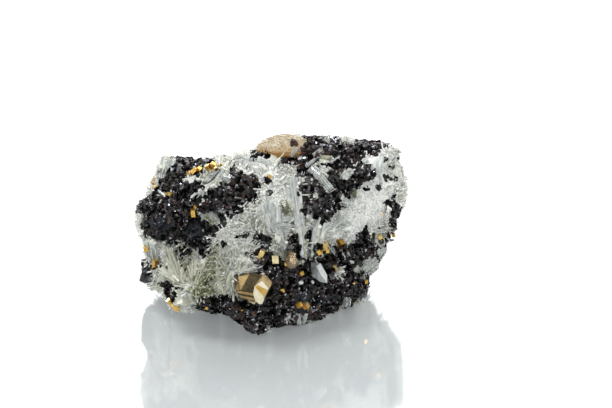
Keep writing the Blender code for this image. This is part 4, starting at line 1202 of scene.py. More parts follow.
class SPECIMEN_OT_druse(bpy.types.Operator):
    """Grow the quartz needles, in tufts that spread from their middles"""

    bl_idname = "specimen.druse"
    bl_label = "Quartz needles"

    def execute(self, context):
        rng = np.random.default_rng(12)
        points, normals, pale, _ = scattered(22, sizes().needle_spacing)
        longer = needle_kinds(points, normals)[0]
        common = np.clip((longer - SPARSE_BELOW) * SPARSE_SLOPE, SPARSE_LEAST, 1.0)
        kept = may_grow(points, normals, pale, NEEDLE_SPARE)
        kept &= rng.random(len(points)) < np.where(normals[:, 2] < 0.0, common * BACK_SHARE, common)
        points, normals = points[kept], normals[kept]
        count = len(points)
        hub_places, hub_normals = spray_middles(points, normals)
        apart = np.linalg.norm(points[:, None] - hub_places[None], axis=2)
        nearest = apart.argmin(axis=1)
        away = (points - hub_places[nearest]) / sizes().tuft_spacing
        own, shared, outward, chance = NEEDLE_WAY
        way = normals * own + hub_normals[nearest] * shared + away * outward
        axes = unit(way + rng.normal(0, chance, (count, 3)))
        length = sizes().needle_length * rng.lognormal(0.0, 0.35, count)
        width = sizes().needle_width * rng.lognormal(0.0, 0.30, count)
        longer, wider, white = needle_kinds(points, normals)
        length *= longer
        width *= wider
        places = points - normals * NEEDLE_DEPTH
        length = held_in(places, axes, np.clip(length, *NEEDLE_LENGTHS))
        shape = np.stack((width, width * rng.uniform(0.7, 1.0, count), length), axis=1)
        tones = np.clip(white + rng.normal(0.0, 0.13, count), 0.0, 1.0)
        rolls = rng.uniform(0.0, 2.0 * math.pi, count)
        finish = druse_finish()
        front_and_back("quartz_needles", NEEDLE, finish, normals, (places, axes, rolls, shape, tones))
        self.sugar(rng, finish)
        self.stubs(rng)
        return {"FINISHED"}

    def stubs(self, rng):
        """Larger glassy crystals among the needles."""
        points, normals, pale, _ = scattered(24, sizes().stub_spacing)
        kept = may_grow(points, normals, pale, STUB_SPARE)
        kept &= rng.random(len(points)) < np.clip(needle_kinds(points, normals)[0] - 0.5, 0.0, 0.6)
        points, normals = points[kept], normals[kept]
        count = len(points)
        longer, _, white = needle_kinds(points, normals)
        axes = tilted(normals, 0.75, rng)
        places = points - normals * STUB_DEPTH
        length = held_in(places, axes, rng.uniform(*STUB_LENGTHS, count) * np.clip(longer, 0.6, 1.4))
        width = rng.uniform(*STUB_WIDTHS, count)
        shape = np.stack((width, width * rng.uniform(0.7, 1.0, count), length), axis=1)
        tones = np.clip(white * 0.6 + rng.uniform(0.0, 0.4, count), 0.0, 1.0)
        group = Cluster()
        group.grow(PRISM, places, axes, rng.uniform(0.0, 6.0, count), shape, tones)
        finish = prism_finish("quartz_stub", (0.84, 0.90, 0.84), 160.0)
        group.piece("quartz_stubs", finish)

    def sugar(self, rng, finish):
        """Short blunt grains under the needles."""
        points, normals, pale, _ = scattered(23, sizes().sugar_spacing)
        kept = may_grow(points, normals, pale, GRAIN_SPARE)
        points, normals = points[kept], normals[kept]
        count = len(points)
        longer, _, white = needle_kinds(points, normals)
        axes = tilted(normals, 0.5, rng)
        places = points - normals * GRAIN_DEPTH
        length = held_in(places, axes, rng.uniform(*GRAIN_LENGTHS, count))
        width = sizes().sugar_width * rng.lognormal(0.0, 0.25, count) * np.clip(longer + 0.2, 0.65, 1.0)
        shape = np.stack((width, width, length), axis=1)
        tones = np.clip(white + rng.normal(0.0, 0.2, count), 0.0, 1.0)
        front_and_back("quartz_sugar", SUGAR, finish, normals, (places, axes, tones * 9.0, shape, tones))


def needle_kinds(points, normals):
    """How much longer and wider needles are at these points, and how white, blended between the kinds."""
    length, width, white = np.ones(len(points)), np.ones(len(points)), np.full(len(points), 0.5)
    for across, up, reach, longer, wider, whiter in NEEDLE_KINDS:
        apart = (points[:, 0] - across) ** 2 + (points[:, 1] - up) ** 2
        near = np.exp(-apart / reach ** 2 * 1.4) * (normals[:, 2] > KIND_FACING)
        length *= 1.0 + (longer - 1.0) * near
        width *= 1.0 + (wider - 1.0) * near
        white += (whiter - white) * near
    return length, width, white


def on_dome(points, normals):
    """Whether points lie on the front of the tan dome."""
    sides = (points[:, :2] - DOME_PLACE) / DOME_HALF
    return ((sides ** 2).sum(axis=1) < 0.75) & (normals[:, 2] > KIND_FACING)


# How far behind the front surface at its middle a large crystal still covers the rock.
UNDER_DEPTH = 3.0


def near_prisms(points, normals, spare=0.5):
    """Whether points of the front lie along a large prism, within this share of its width."""
    lines = np.array([line[:5] for group in PRISMS.values() for line in group])
    levels = np.array([ALL_SOLIDS.front(*middle) for middle in (lines[:, :2] + lines[:, 2:4]) / 2.0])
    apart = along(lines[:, :2], lines[:, 2:4], points[:, :2])
    covered = (apart < lines[:, 4] * spare) & (points[:, 2:] > levels - UNDER_DEPTH)
    return covered.any(axis=1) & (normals[:, 2] > 0.0)


def near_blocks(points, normals):
    """Whether points of the front lie under a small pyrite or a single crystal."""
    spots = [(*block[:2], block[2] * 0.9) for blocks in PYRITES.values() for block in blocks]
    marks = [([], [spot], spot[:2]) for spot in spots]
    marks += [([outline], [], np.mean(outline, axis=0)) for _, _, outline, _ in FACETED.values()]
    covered = np.zeros(len(points), bool)
    for outlines, round_spots, middle in marks:
        near = points[:, 2] > ALL_SOLIDS.front(*middle) - UNDER_DEPTH
        covered |= in_any(outlines, round_spots, points[:, :2]) & near
    return covered & (normals[:, 2] > 0.0)


def spray_middles(points, normals):
    """Where the sprays spread from: those told apart in the view, and one in each grid cell elsewhere."""
    shown = np.array([(across, up, ALL_SOLIDS.front(across, up) - 1.0) for across, up in SPRAY_MIDDLES])
    spacing = sizes().tuft_spacing
    cells = np.sort(np.unique(np.floor(points / spacing + 0.37), axis=0, return_index=True)[1])
    near = np.linalg.norm(points[cells][:, None] - shown[None], axis=2).min(axis=1) < spacing * 1.2
    cells = cells[~near]
    toward = np.tile([[0.0, 0.0, 1.0]], (len(shown), 1))
    return np.concatenate((shown, points[cells])), np.concatenate((toward, normals[cells]))


# Large quartz prisms by the solid they stand for: from across, up, to across, up, width, strands, milk.
PRISMS = {
    "centre_left": [
        (-2.0, 38.8, 0.7, 29.8, 2.2, 2, 0.5), (-0.2, 39.4, 1.8, 29.4, 2.0, 1, 0.45),
        (1.8, 38.0, 2.5, 29.6, 1.8, 1, 0.55), (3.2, 36.4, 3.4, 31.0, 1.2, 1, 0.35),
        (0.6, 31.4, 2.7, 24.8, 1.6, 2, 0.35), (2.4, 31.4, 4.2, 24.6, 1.8, 2, 0.4),
        (1.8, 33.6, 5.6, 25.2, 1.3, 1, 0.2), (-0.2, 41.4, 0.9, 36.8, 1.5, 2, 0.9),
        (-2.6, 41.6, -0.6, 37.6, 1.3, 2, 0.9), (2.4, 42.0, 2.0, 38.4, 1.2, 2, 0.9),
    ],
    "crossing": [
        (2.8, 34.6, 7.8, 34.4, 1.7, 1, 0.6), (2.8, 32.8, 8.2, 32.3, 1.5, 1, 0.75),
        (3.2, 31.3, 8.0, 30.9, 1.1, 1, 0.85),
        (10.8, 35.4, 13.8, 33.8, 1.1, 1, 0.6), (10.6, 33.4, 13.4, 31.6, 0.9, 1, 0.8),
        (-5.4, 28.4, -0.6, 27.8, 0.9, 1, 0.1), (-4.8, 27.0, -0.4, 26.8, 0.8, 1, 0.3),
    ],
    "centre_right": [
        (6.6, 46.8, 9.0, 29.4, 2.6, 3, 0.5), (8.7, 31.4, 9.4, 22.4, 1.3, 1, 0.4),
        (8.6, 42.6, 9.8, 29.8, 0.9, 1, 0.95),
        (5.6, 44.6, 8.0, 30.8, 1.3, 2, 0.6), (4.2, 45.2, 5.8, 38.8, 1.6, 2, 0.7),
    ],
    "middle_right": [
        (14.6, 35.2, 12.4, 30.6, 1.1, 1, 0.9), (13.4, 32.0, 12.2, 23.6, 1.9, 2, 0.6),
        (15.0, 32.4, 13.8, 25.0, 1.5, 2, 0.7), (11.4, 38.6, 11.6, 33.8, 1.9, 2, 0.1),
        (11.6, 27.4, 10.6, 22.6, 1.8, 1, 0.6), (16.8, 34.6, 14.8, 30.4, 1.0, 1, 0.8),
    ],
    "fan_left": [
        (-26.8, 15.8, -34.9, 20.4, 2.0, 3, 0.7), (-27.0, 16.2, -34.0, 22.8, 1.6, 2, 0.6),
        (-27.0, 16.4, -32.5, 25.8, 2.0, 3, 0.65), (-26.8, 16.6, -30.5, 26.1, 1.8, 2, 0.7),
        (-26.6, 16.4, -28.2, 23.6, 1.4, 2, 0.6), (-26.4, 16.0, -26.2, 21.2, 1.1, 1, 0.5),
        (-27.0, 15.4, -33.0, 17.6, 1.3, 2, 0.5), (-26.2, 15.8, -24.2, 20.4, 1.1, 1, 0.5),
        (-22.6, 15.4, -22.6, 25.4, 1.9, 2, 0.6), (-22.2, 15.2, -25.0, 22.8, 1.5, 2, 0.5),
        (-21.8, 15.2, -19.8, 22.6, 1.5, 2, 0.5), (-22.6, 14.8, -26.4, 18.8, 1.4, 1, 0.4),
        (-14.4, 12.8, -15.6, 20.6, 1.6, 2, 0.5), (-13.6, 12.6, -11.6, 18.8, 1.3, 1, 0.5),
        (-14.8, 13.2, -18.6, 17.4, 1.3, 1, 0.2),
    ],
    "columns_left": [
        (-36.6, 23.4, -37.4, 29.6, 1.7, 3, 0.7), (-34.8, 22.8, -35.6, 29.0, 1.9, 3, 0.6),
        (-33.2, 22.4, -33.6, 27.4, 1.4, 2, 0.6), (-31.6, 23.6, -31.9, 27.8, 1.1, 1, 0.6),
    ],
    "stub_upper_left": [
        (-32.8, 46.6, -32.4, 53.4, 1.9, 3, 0.6), (-30.9, 47.2, -30.4, 52.8, 1.9, 3, 0.5),
        (-29.4, 48.6, -29.0, 52.8, 1.2, 1, 0.6),
    ],
    "prism_top": [(9.6, 51.2, 16.0, 56.0, 1.2, 2, 0.4), (10.4, 50.2, 15.4, 54.0, 1.0, 1, 0.3)],
    "plate_upper_right": [
        (11.6, 49.8, 15.2, 46.6, 2.6, 4, 0.30), (14.0, 50.2, 17.0, 48.0, 1.4, 2, 0.40),
        (14.8, 47.0, 18.2, 42.8, 1.8, 3, 0.15),
    ],
    "angular_upper": [
        (-9.4, 52.6, -2.6, 50.8, 2.4, 2, 0.6), (-8.2, 50.2, -1.4, 48.6, 2.4, 2, 0.7),
        (-4.0, 52.4, 0.4, 50.4, 1.7, 1, 0.8), (-11.2, 54.4, -5.4, 54.0, 0.9, 1, 0.8),
    ],
    "band_diagonal": [
        (-15.4, 49.6, -19.8, 44.8, 1.3, 2, 0.5), (-19.9, 43.8, -23.6, 40.7, 0.8, 1, 0.7),
        (-20.8, 46.4, -25.0, 44.6, 0.9, 1, 0.8), (-22.0, 47.0, -26.4, 45.8, 1.1, 2, 0.8),
        (-15.8, 46.0, -19.6, 43.4, 1.2, 2, 0.6), (-12.4, 52.8, -15.6, 49.4, 1.4, 2, 0.3),
        (-18.2, 44.2, -20.0, 39.6, 0.7, 1, 0.7), (-14.0, 48.8, -16.4, 46.0, 1.4, 1, 0.4),
    ],
    "needle_long": [(18.2, 28.8, 23.0, 21.4, 0.7, 1, 0.4), (18.2, 26.0, 20.6, 21.6, 0.6, 1, 0.3)],
    "fan_right": [
        (15.6, 30.4, 22.0, 35.6, 1.4, 2, 0.7), (16.0, 29.8, 24.6, 32.8, 1.5, 3, 0.8),
        (16.0, 31.2, 19.0, 37.2, 1.3, 2, 0.7), (16.2, 29.0, 24.0, 29.6, 1.4, 2, 0.7),
        (16.0, 30.0, 23.6, 34.4, 1.3, 2, 0.8),
    ],
    "needle_right_edge": [(31.6, 49.6, 33.4, 42.8, 1.0, 2, 0.7), (30.4, 49.4, 27.6, 52.6, 1.2, 2, 0.8)],
    "point_lower_right": [
        (31.6, 22.4, 27.2, 18.8, 1.8, 2, 0.3), (29.2, 23.0, 27.0, 21.0, 1.4, 1, 0.5),
        (30.4, 20.0, 32.0, 22.6, 1.3, 1, 0.4),
    ],
    "dome_lower_right": [(22.4, 8.2, 22.9, 11.0, 2.2, 2, 0.2)],
    "triangular_lower_left": [
        (-23.0, 8.8, -26.2, 13.2, 2.2, 2, 0.5), (-25.4, 9.2, -25.9, 13.6, 1.8, 2, 0.5),
        (-27.6, 9.2, -25.8, 13.0, 1.8, 2, 0.4), (-23.6, 8.8, -27.2, 8.4, 1.2, 1, 0.95),
        (-22.0, 8.0, -25.4, 7.2, 1.1, 1, 0.95),
    ],
    "bottom_front": [
        (8.4, 3.4, 7.8, 7.2, 1.3, 2, 0.6), (9.7, 3.8, 10.5, 6.8, 1.1, 1, 0.7),
    ],
    "dark_hollow": [(-13.0, 41.3, -7.6, 40.3, 0.9, 1, 0.1), (-15.5, 37.0, -9.6, 36.3, 1.1, 1, 0.1)],
    "scattered": [
        (-33.4, 43.0, -30.6, 40.6, 0.9, 1, 0.5), (20.6, 52.4, 17.2, 50.8, 1.6, 1, 0.2),
        (20.8, 49.0, 23.2, 46.6, 1.5, 2, 0.8),
        (-18.6, 37.4, -16.0, 34.0, 1.8, 1, 0.3), (-21.4, 36.2, -19.4, 34.0, 1.4, 1, 0.3),
        (23.0, 41.8, 24.8, 39.6, 1.5, 1, 0.4), (-35.8, 15.0, -33.0, 18.6, 1.2, 1, 0.2),
        (19.4, 33.4, 20.6, 36.8, 1.2, 1, 0.6), (16.2, 27.6, 19.6, 23.0, 0.5, 1, 0.5),
    ],
}
# The solids that a group of prisms stands for.
PRISM_SOLIDS = {
    "stub_upper_left": "quartz_stub_upper_left", "prism_top": "quartz_prism_top",
    "plate_upper_right": "quartz_plate_upper_right", "band_diagonal": "quartz_band_diagonal",
    "needle_right_edge": "quartz_needle_right_edge", "point_lower_right": "quartz_point_lower_right",
    "dome_lower_right": "quartz_dome_lower_right", "bottom_front": "quartz_group_bottom_front",
}
END_ON_PRISM = (-13.1, 46.7, 1.45)
# The groups whose milk is greenish cream.
CREAM_GROUPS = {"fan_left"}


def on_surface(line, half):
    """Both ends of a prism laid on the solids: their level is read at two places and drawn on to the ends."""
    start, end = np.array(line[:2]), np.array(line[2:4])
    low = ALL_SOLIDS.front(*(start + (end - start) * 0.25))
    high = ALL_SOLIDS.front(*(start + (end - start) * 0.75))
    slope = np.clip(high - low, -3.0, 3.0)
    middle = (low + high) / 2.0 - half * 0.2
    return np.array([*start, middle - slope]), np.array([*end, middle + slope])


def strands(line, rng):
    """Places, axes, rolls, sizes and tones of the parallel strands that make up one large prism."""
    width, count, milk = line[4:]
    start, end = on_surface(line, width / 2.0)
    length = np.linalg.norm(end - start)
    axis = (end - start) / length
    side = unit(np.cross(axis, [0.0, 0.0, 1.0]))
    offsets = (np.arange(count) - (count - 1) / 2.0) / count * width
    half = width / count * 0.62
    places = start + side * offsets[:, None] + np.array([0.0, 0.0, 1.0]) * rng.uniform(-0.2, 0.3, (count, 1))
    axes = np.tile(axis, (count, 1))
    shape = np.stack((
        np.full(count, half), np.full(count, half * 0.9), length * rng.uniform(0.84, 1.04, count)), axis=1)
    tones = np.clip(milk + rng.uniform(-0.12, 0.12, count), 0.0, 1.0)
    return places, axes, rng.uniform(0.0, 1.0, count), shape, tones


# Single flat-faced crystals: finish, milk, the outline (across, up) and the points of the ridge.
FACETED = {
    "triangular": ("cream", 0.9, [(-28.8, 9.2), (-25.6, 13.7), (-22.6, 9.6), (-25.6, 8.6)],
                   [(-25.8, 11.8), (-26.2, 9.8)]),
    "olive_centre": ("olive", 0.2, [(2.9, 39.6), (4.6, 40.4), (6.0, 36.0), (3.6, 35.6)], [(4.2, 37.8)]),
    "olive_upper_right": ("olive", 0.3, [(22.3, 41.2), (25.3, 40.8), (25.5, 43.2), (23.0, 43.7)],
                          [(23.9, 42.2)]),
    "grey_block_top": ("olive", 0.75, [(14.0, 51.7), (17.8, 51.4), (18.0, 53.3), (14.4, 53.6)],
                       [(15.2, 52.5), (16.8, 52.4)]),
    "pale_upper_right": ("milk", 0.7, [(20.2, 42.2), (21.6, 42.3), (23.8, 39.4), (22.6, 37.9), (20.4, 38.8)],
                         [(21.2, 41.0), (22.4, 39.2)]),
    "lavender_right": ("milk", 0.95, [(29.2, 51.4), (31.4, 53.4), (33.6, 53.2), (33.4, 49.0), (31.6, 47.6)],
                       [(31.4, 51.6), (32.4, 50.0)]),
    "foot_front": ("cream", 0.9, [(-27.0, 7.6), (-24.6, 8.9), (-23.6, 7.6), (-25.2, 6.8)], [(-25.2, 7.9)]),
    "foot_front_right": ("cream", 0.95, [(-23.2, 7.8), (-21.6, 8.8), (-20.6, 7.6), (-22.0, 7.0)],
                         [(-21.9, 7.9)]),
    "edge_right": ("milk", 0.5, [(31.0, 23.8), (33.4, 26.6), (34.8, 25.0), (32.8, 22.6)], [(33.0, 24.8)]),
    "lower_right": ("milk", 0.3, [(21.6, 24.6), (23.0, 25.4), (23.6, 23.6), (22.4, 22.8)], [(22.6, 24.2)]),
}


def faceted(outline, ridge):
    """The corners of a flat-faced crystal lying on the solids: its outline, its ridge and its back."""
    level = ALL_SOLIDS.front(*np.mean(outline, axis=0))
    corners = [(across, up, level - 0.2) for across, up in outline]
    corners += [(across, up, level + 0.9) for across, up in ridge]
    return corners + [(across, up, level - 3.0) for across, up in ridge]


class SPECIMEN_OT_prisms(bpy.types.Operator):
    """Lay the large quartz prisms, each a few grown-together strands"""

    bl_idname = "specimen.prisms"
    bl_label = "Quartz prisms"

    def execute(self, context):
        rng = np.random.default_rng(13)
        finish = prism_finish("quartz_prism", (0.80, 0.88, 0.82), 160.0)
        finishes = {
            "milk": finish,
            "olive": prism_finish("quartz_olive", (0.60, 0.58, 0.30), 500.0, OLIVE_CLOUD),
            "cream": prism_finish("quartz_cream", (0.80, 0.84, 0.70), 200.0, CREAM_CLOUD),
        }
        for name, lines in PRISMS.items():
            group = Cluster()
            for line in lines:
                group.grow(PRISM, *strands(line, rng))
            solids = [PRISM_SOLIDS[name]] if name in PRISM_SOLIDS else []
            kind = "cream" if name in CREAM_GROUPS else "milk"
            group.piece(f"quartz_{name}_prisms", finishes[kind], replaces=solids)
        across, up, radius = END_ON_PRISM
        level = ALL_SOLIDS.front(across, up)
        end_on = Cluster()
        end_on.grow(PRISM, np.array([[across, up, level - 4.0]]), np.array([[0.02, 0.05, 1.0]]),
                    np.array([0.3]), np.array([[radius, radius, 4.6]]), np.array([0.35]))
        end_on.piece("quartz_end_on_prism", finish, replaces=["quartz_prism_end_on"])
        for name, (kind, milk, outline, ridge) in FACETED.items():
            single = Cluster()
            single.add_hull(faceted(outline, ridge), [((0.0, 0.0, 1.0), milk)])
            single.piece(f"quartz_{name}_form", finishes[kind])
        return {"FINISHED"}


# Small pyrites by solid: each block is across, up, half width, stretch and turn in degrees.
PYRITES = {
    "pyrite_nugget": [(-2.5, 24.3, 0.75, 1.9, -30.0), (-3.2, 23.2, 0.5, 1.1, -20.0)],
    "pyrite_striated_cube": [(1.4, 22.75, 0.93, 0.86, 3.0)],
    "pyrite_left_edge": [(-34.6, 21.6, 0.7, 1.4, 20.0), (-35.2, 20.4, 0.6, 1.2, -10.0)],
    "pyrite_left_upper": [(-37.4, 25.8, 0.7, 1.2, 15.0)],
    "pyrite_lower_left": [(-29.7, 9.6, 0.65, 2.4, 45.0), (-28.5, 8.4, 0.75, 1.6, 40.0)],
    "pyrite_front_left": [(-19.1, 8.8, 0.5, 1.8, -5.0)],
    "pyrite_front_right": [(8.3, 9.4, 0.7, 1.1, 40.0), (10.3, 9.1, 0.75, 1.1, 10.0)],
    "pyrite_pointed_pair": [
        (15.9, 26.6, 0.7, 2.0, 8.0), (14.3, 25.0, 0.7, 1.1, 30.0), (16.6, 25.2, 0.5, 1.2, 0.0),
    ],
    "pyrite_brown_oval": [(20.3, 27.3, 0.95, 1.2, -60.0), (20.8, 25.9, 0.4, 1.0, 10.0)],
    "pyrite_right_middle": [(18.8, 19.9, 0.55, 1.6, -10.0), (18.2, 19.2, 0.4, 1.0, 10.0)],
    "pyrite_upper_left": [(-35.0, 45.6, 0.9, 1.1, 60.0), (-34.6, 43.6, 0.6, 1.2, 10.0)],
    "pyrite_top_bar": [
        (-24.0, 47.9, 0.6, 1.3, -70.0), (-22.6, 48.6, 0.7, 1.5, -62.0), (-21.2, 49.2, 0.6, 1.1, -30.0),
    ],
    "pyrite_top_cluster": [
        (-18.6, 49.9, 0.7, 1.0, 20.0), (-17.2, 50.6, 0.65, 1.0, 50.0), (-18.0, 49.0, 0.5, 1.0, 10.0),
        (-16.4, 49.4, 0.5, 1.0, 30.0),
    ],
    "pyrite_orange_bar": [(-22.8, 36.4, 0.6, 1.9, 5.0), (-22.0, 38.0, 0.55, 1.3, -50.0)],
    "pyrite_right_edge": [(32.6, 29.1, 0.55, 1.2, 35.0), (36.8, 29.6, 0.45, 1.2, 10.0)],
    "pyrite_lower_right": [(28.4, 15.6, 0.5, 1.2, 20.0), (24.5, 15.4, 0.4, 1.2, 0.0)],
    "speckles": [
        (8.9, 18.6, 0.6, 1.0, 30.0), (-15.2, 50.4, 0.45, 1.0, 20.0), (4.4, 21.4, 0.35, 1.3, 10.0),
        (-0.4, 47.0, 0.5, 1.2, 30.0), (-30.6, 42.2, 0.4, 1.1, 20.0), (3.6, 13.8, 0.5, 1.1, 15.0),
        (-29.8, 42.0, 0.5, 1.5, 80.0), (33.2, 36.2, 0.3, 1.0, 0.0), (-8.6, 8.4, 0.5, 1.2, 30.0),
    ],
}
# Brighter than the rest, which take a random share.
BRIGHT_SHARE = {"pyrite_striated_cube": 1.35, "pyrite_nugget": 1.15}
# The tones of a block's faces, by the direction that they look along: painted light and shade, lightest on faces
# that look up and darkest on those that look down.
BLOCK_PAINTED_LIGHT = [
    ((0.0, 0.0, 1.0), 0.75), ((0.0, 1.0, 0.3), 1.0), ((0.0, -1.0, 0.0), 0.1), ((1.0, 0.0, 0.2), 0.35),
    ((-1.0, 0.0, 0.2), 0.55),
]
# The corners of the large pyrite's blocks: across, up, and how far each stands toward the viewer.
DARK_BLOCK = [
    (-9.4, 17.9, -0.6), (-6.2, 19.0, -0.8), (-2.2, 18.4, -0.6), (-2.4, 16.7, 0.5), (-4.6, 15.1, 1.1),
    (-5.0, 13.0, 0.7), (-8.6, 13.9, 0.7), (-10.3, 13.9, -0.9), (-6.2, 18.5, 0.3), (-8.0, 17.0, -5.0),
    (-3.0, 17.0, -5.0), (-5.0, 13.4, -5.0), (-9.4, 14.4, -5.0),
]
# The tones of the dark block's faces by the way each looks: painted light and shade on its faces.
DARK_BLOCK_FACES = [
    ((0.2, 0.1, 1.0), 0.12), ((-0.6, 0.2, 0.8), 0.37), ((0.0, 1.0, 0.3), 0.3), ((0.1, -1.0, 0.2), 0.30),
    ((1.0, 0.2, 0.2), 0.2),
]
BRIGHT_BLOCK = [
    (-2.2, 18.4, -1.4), (-1.3, 18.2, -1.6), (0.4, 16.3, -1.4), (0.2, 15.3, -0.8), (-0.5, 14.4, 0.4),
    (-2.4, 16.7, 0.9), (-2.0, 12.0, 0.6), (-4.6, 15.1, 1.6), (-1.9, 11.1, -0.4), (-2.4, 9.9, -1.4),
    (-3.1, 9.8, -1.4), (-4.4, 10.8, -0.8), (-5.0, 12.9, 0.4), (-1.6, 17.0, -5.0), (-0.6, 14.8, -5.0),
    (-3.0, 11.0, -5.0), (-4.4, 14.0, -5.0),
]
# The tones of the bright block's faces by the way each looks: painted light and reflection on its faces.
BRIGHT_BLOCK_FACES = [
    ((0.65, 0.55, 0.5), 0.58), ((0.45, -0.1, 0.9), 0.99), ((-0.3, -0.5, 0.8), 0.90), ((0.0, -1.0, 0.2), 0.5),
    ((0.9, -0.4, 0.1), 0.6),
]
# The golden lower half of the bright block's front face.
GOLDEN_FACE = [
    (-4.55, 15.05, 1.62), (-3.5, 15.45, 1.36), (-0.8, 14.0, 0.62), (-1.95, 12.2, 0.70), (-3.0, 13.4, 1.14),
]
# The striated steps below the dark block: from across, up to across, up, half thickness, tone.
STEPS = [
    (-9.6, 13.5, -5.0, 12.7, 0.34, 0.44), (-9.4, 12.9, -4.9, 11.9, 0.30, 0.10),
    (-8.8, 12.3, -4.8, 11.2, 0.32, 0.40), (-7.6, 11.7, -4.7, 10.6, 0.28, 0.16),
    (-6.4, 11.1, -4.6, 10.0, 0.26, 0.60),
]
# Half the steps' depth, how far they lie behind the bright block, and how much farther for each millimetre down.
STEP_DEPTH = 1.6
STEP_SUNK = 2.2
STEP_SLOPE = 0.25
GOLDEN = (1.0 + math.sqrt(5.0)) / 2.0
# The pyritohedron's middle in the view, and its radius.
PYRITOHEDRON_PLACE = (6.1, 22.2, 2.05)
CUBE = np.array(list(product((-1.0, 1.0), repeat=3)))


def turning(first, second, angle):
    """The matrix that turns rows of points from one axis toward another by an angle."""
    turn = np.eye(3)
    turn[first, first] = math.cos(angle)
    turn[second, second] = math.cos(angle)
    turn[first, second] = math.sin(angle)
    turn[second, first] = -math.sin(angle)
    return turn


def turned_box(across, up, half, stretch, turn, rng):
    """The eight corners of a block leaning out of the surface."""
    lean = turning(1, 2, rng.uniform(0.35, 0.8))
    tip = turning(0, 2, rng.uniform(-0.6, 0.6))
    corners = CUBE * [half, half * stretch, half] @ lean @ tip @ turning(0, 1, math.radians(turn))
    level = ALL_SOLIDS.front(across, up) + half * 0.3
    return corners + [across, up, level]


class SPECIMEN_OT_pyrite(bpy.types.Operator):
    """Set the pyrites: the large pair with its steps, the small blocks and the pyritohedron"""

    bl_idname = "specimen.pyrite"
    bl_label = "Pyrites"

    def execute(self, context):
        rng = np.random.default_rng(14)
        # The gold ramp by face tone: its near-black foot is painted shade, bronze is tarnish and painted shade,
        # and its pale top is a painted highlight.
        fresh, tarnish_and_shade = tuple(colours().pyrite), tuple(colours().bronze)
        gold = pyrite_finish("pyrite_gold", [(0.0, (0.10, 0.05, 0.012)), (0.35, tarnish_and_shade), (0.75, fresh),
                                             (1.0, (1.0, 0.86, 0.50))])
        for name, blocks in PYRITES.items():
            group = Cluster()
            for block in blocks:
                shade = BRIGHT_SHARE.get(name, rng.uniform(0.62, 1.05))
                shades = [(way, tone * shade) for way, tone in BLOCK_PAINTED_LIGHT]
                group.add_hull(turned_box(*block, rng), shades)
            group.piece(f"{name}_blocks", gold, replaces=[name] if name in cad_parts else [])
        self.large_pair(gold)
        self.pyritohedron()
        return {"FINISHED"}

    def large_pair(self, gold):
        """A dark block and a bright one grown together, with thin steps below them."""
        # Dark to pale by face tone: the low end is painted shade and the pale top a painted highlight.
        bronze = pyrite_finish("pyrite_large", [
            (0.0, (0.045, 0.040, 0.022)), (0.25, (0.13, 0.10, 0.055)), (0.5, (0.46, 0.32, 0.14)),
            (0.8, (0.84, 0.72, 0.42)), (1.0, (1.0, 0.94, 0.76))], 0.28, 0.06)
        pair = Cluster()
        level = ALL_SOLIDS.front(-6.4, 16.0) - 0.4
        pair.add_hull(np.array(DARK_BLOCK) + [0.0, 0.0, level], DARK_BLOCK_FACES)
        level = ALL_SOLIDS.front(-2.6, 14.2) - 0.2
        pair.add_hull(np.array(BRIGHT_BLOCK) + [0.0, 0.0, level], BRIGHT_BLOCK_FACES)
        face = np.array(GOLDEN_FACE) + [0.0, 0.0, level + 0.04]
        golden = Cluster()
        golden.add_hull(np.concatenate((face, face - [0.0, 0.0, 1.0])), [((0.0, 0.0, 1.0), 0.72)])
        golden.piece("pyrite_golden_face", gold)
        for across, up, to_across, to_up, half, tone in STEPS:
            middle = np.array([(across + to_across) / 2.0, (up + to_up) / 2.0])
            length = math.dist((across, up), (to_across, to_up)) / 2.0
            turn = math.atan2(to_up - up, to_across - across) - math.pi / 2.0
            corners = CUBE * [half, length, STEP_DEPTH] @ turning(0, 1, turn)
            step = level - STEP_SUNK - STEP_SLOPE * (STEPS[0][1] - up)
            # Each step's top takes its own tone; its upper side is painted light and its lower side painted
            # shade.
            pair.add_hull(corners + [*middle, step], [
                ((0.0, 0.0, 1.0), tone), ((0.0, 1.0, 0.0), 0.7), ((0.0, -1.0, 0.0), 0.2)])
        pair.piece("pyrite_large_pair", bronze, replaces=["pyrite_large"])

    def pyritohedron(self):
        """The form with twelve five-sided faces: the corners of a cube, and twelve more over its edges."""
        across, up, radius = PYRITOHEDRON_PLACE
        corners = [*CUBE]
        for first, second in product((-1.0, 1.0), repeat=2):
            edge = np.array([0.0, first / GOLDEN, second * GOLDEN])
            corners += [edge, edge[[2, 0, 1]], edge[[1, 2, 0]]]
        turn = Vector((1.0, 0.5, 0.3)).normalized()
        places = np.array([Vector(corner).cross(turn) * 0.5 + Vector(corner) for corner in corners])
        places = unit(places) * radius * 1.08
        level = ALL_SOLIDS.front(across, up) - 0.6
        form = Cluster()
        # Face tones by the way each face looks: painted light and shade, pale on the front and upper faces and
        # dark on those that look down.
        form.add_hull(places * [1.0, 1.04, 1.0] + [across, up, level], [
            ((0.0, 1.0, 0.4), 0.7), ((0.7, 0.3, 0.6), 0.3), ((-0.7, 0.2, 0.6), 0.5), ((0.3, -0.6, 0.7), 0.6),
            ((-0.4, -0.6, 0.7), 0.35), ((0.0, 0.0, 1.0), 0.8), ((0.0, -1.0, 0.0), 0.1)])
        rng = np.random.default_rng(15)
        form.add_hull(turned_box(6.2, 24.6, 0.6, 1.7, 60.0, rng), BLOCK_PAINTED_LIGHT)
        # Dark to pale by face tone: painted shade at the low end and a painted highlight at the top.
        finish = pyrite_finish("pyrite_pale", [
            (0.0, (0.06, 0.045, 0.025)), (0.5, (0.36, 0.28, 0.18)), (1.0, (0.95, 0.86, 0.68))], 0.12, 0.14)
        form.piece("pyrite_pale_pyritohedron", finish, replaces=["pyrite_pyritohedron"])


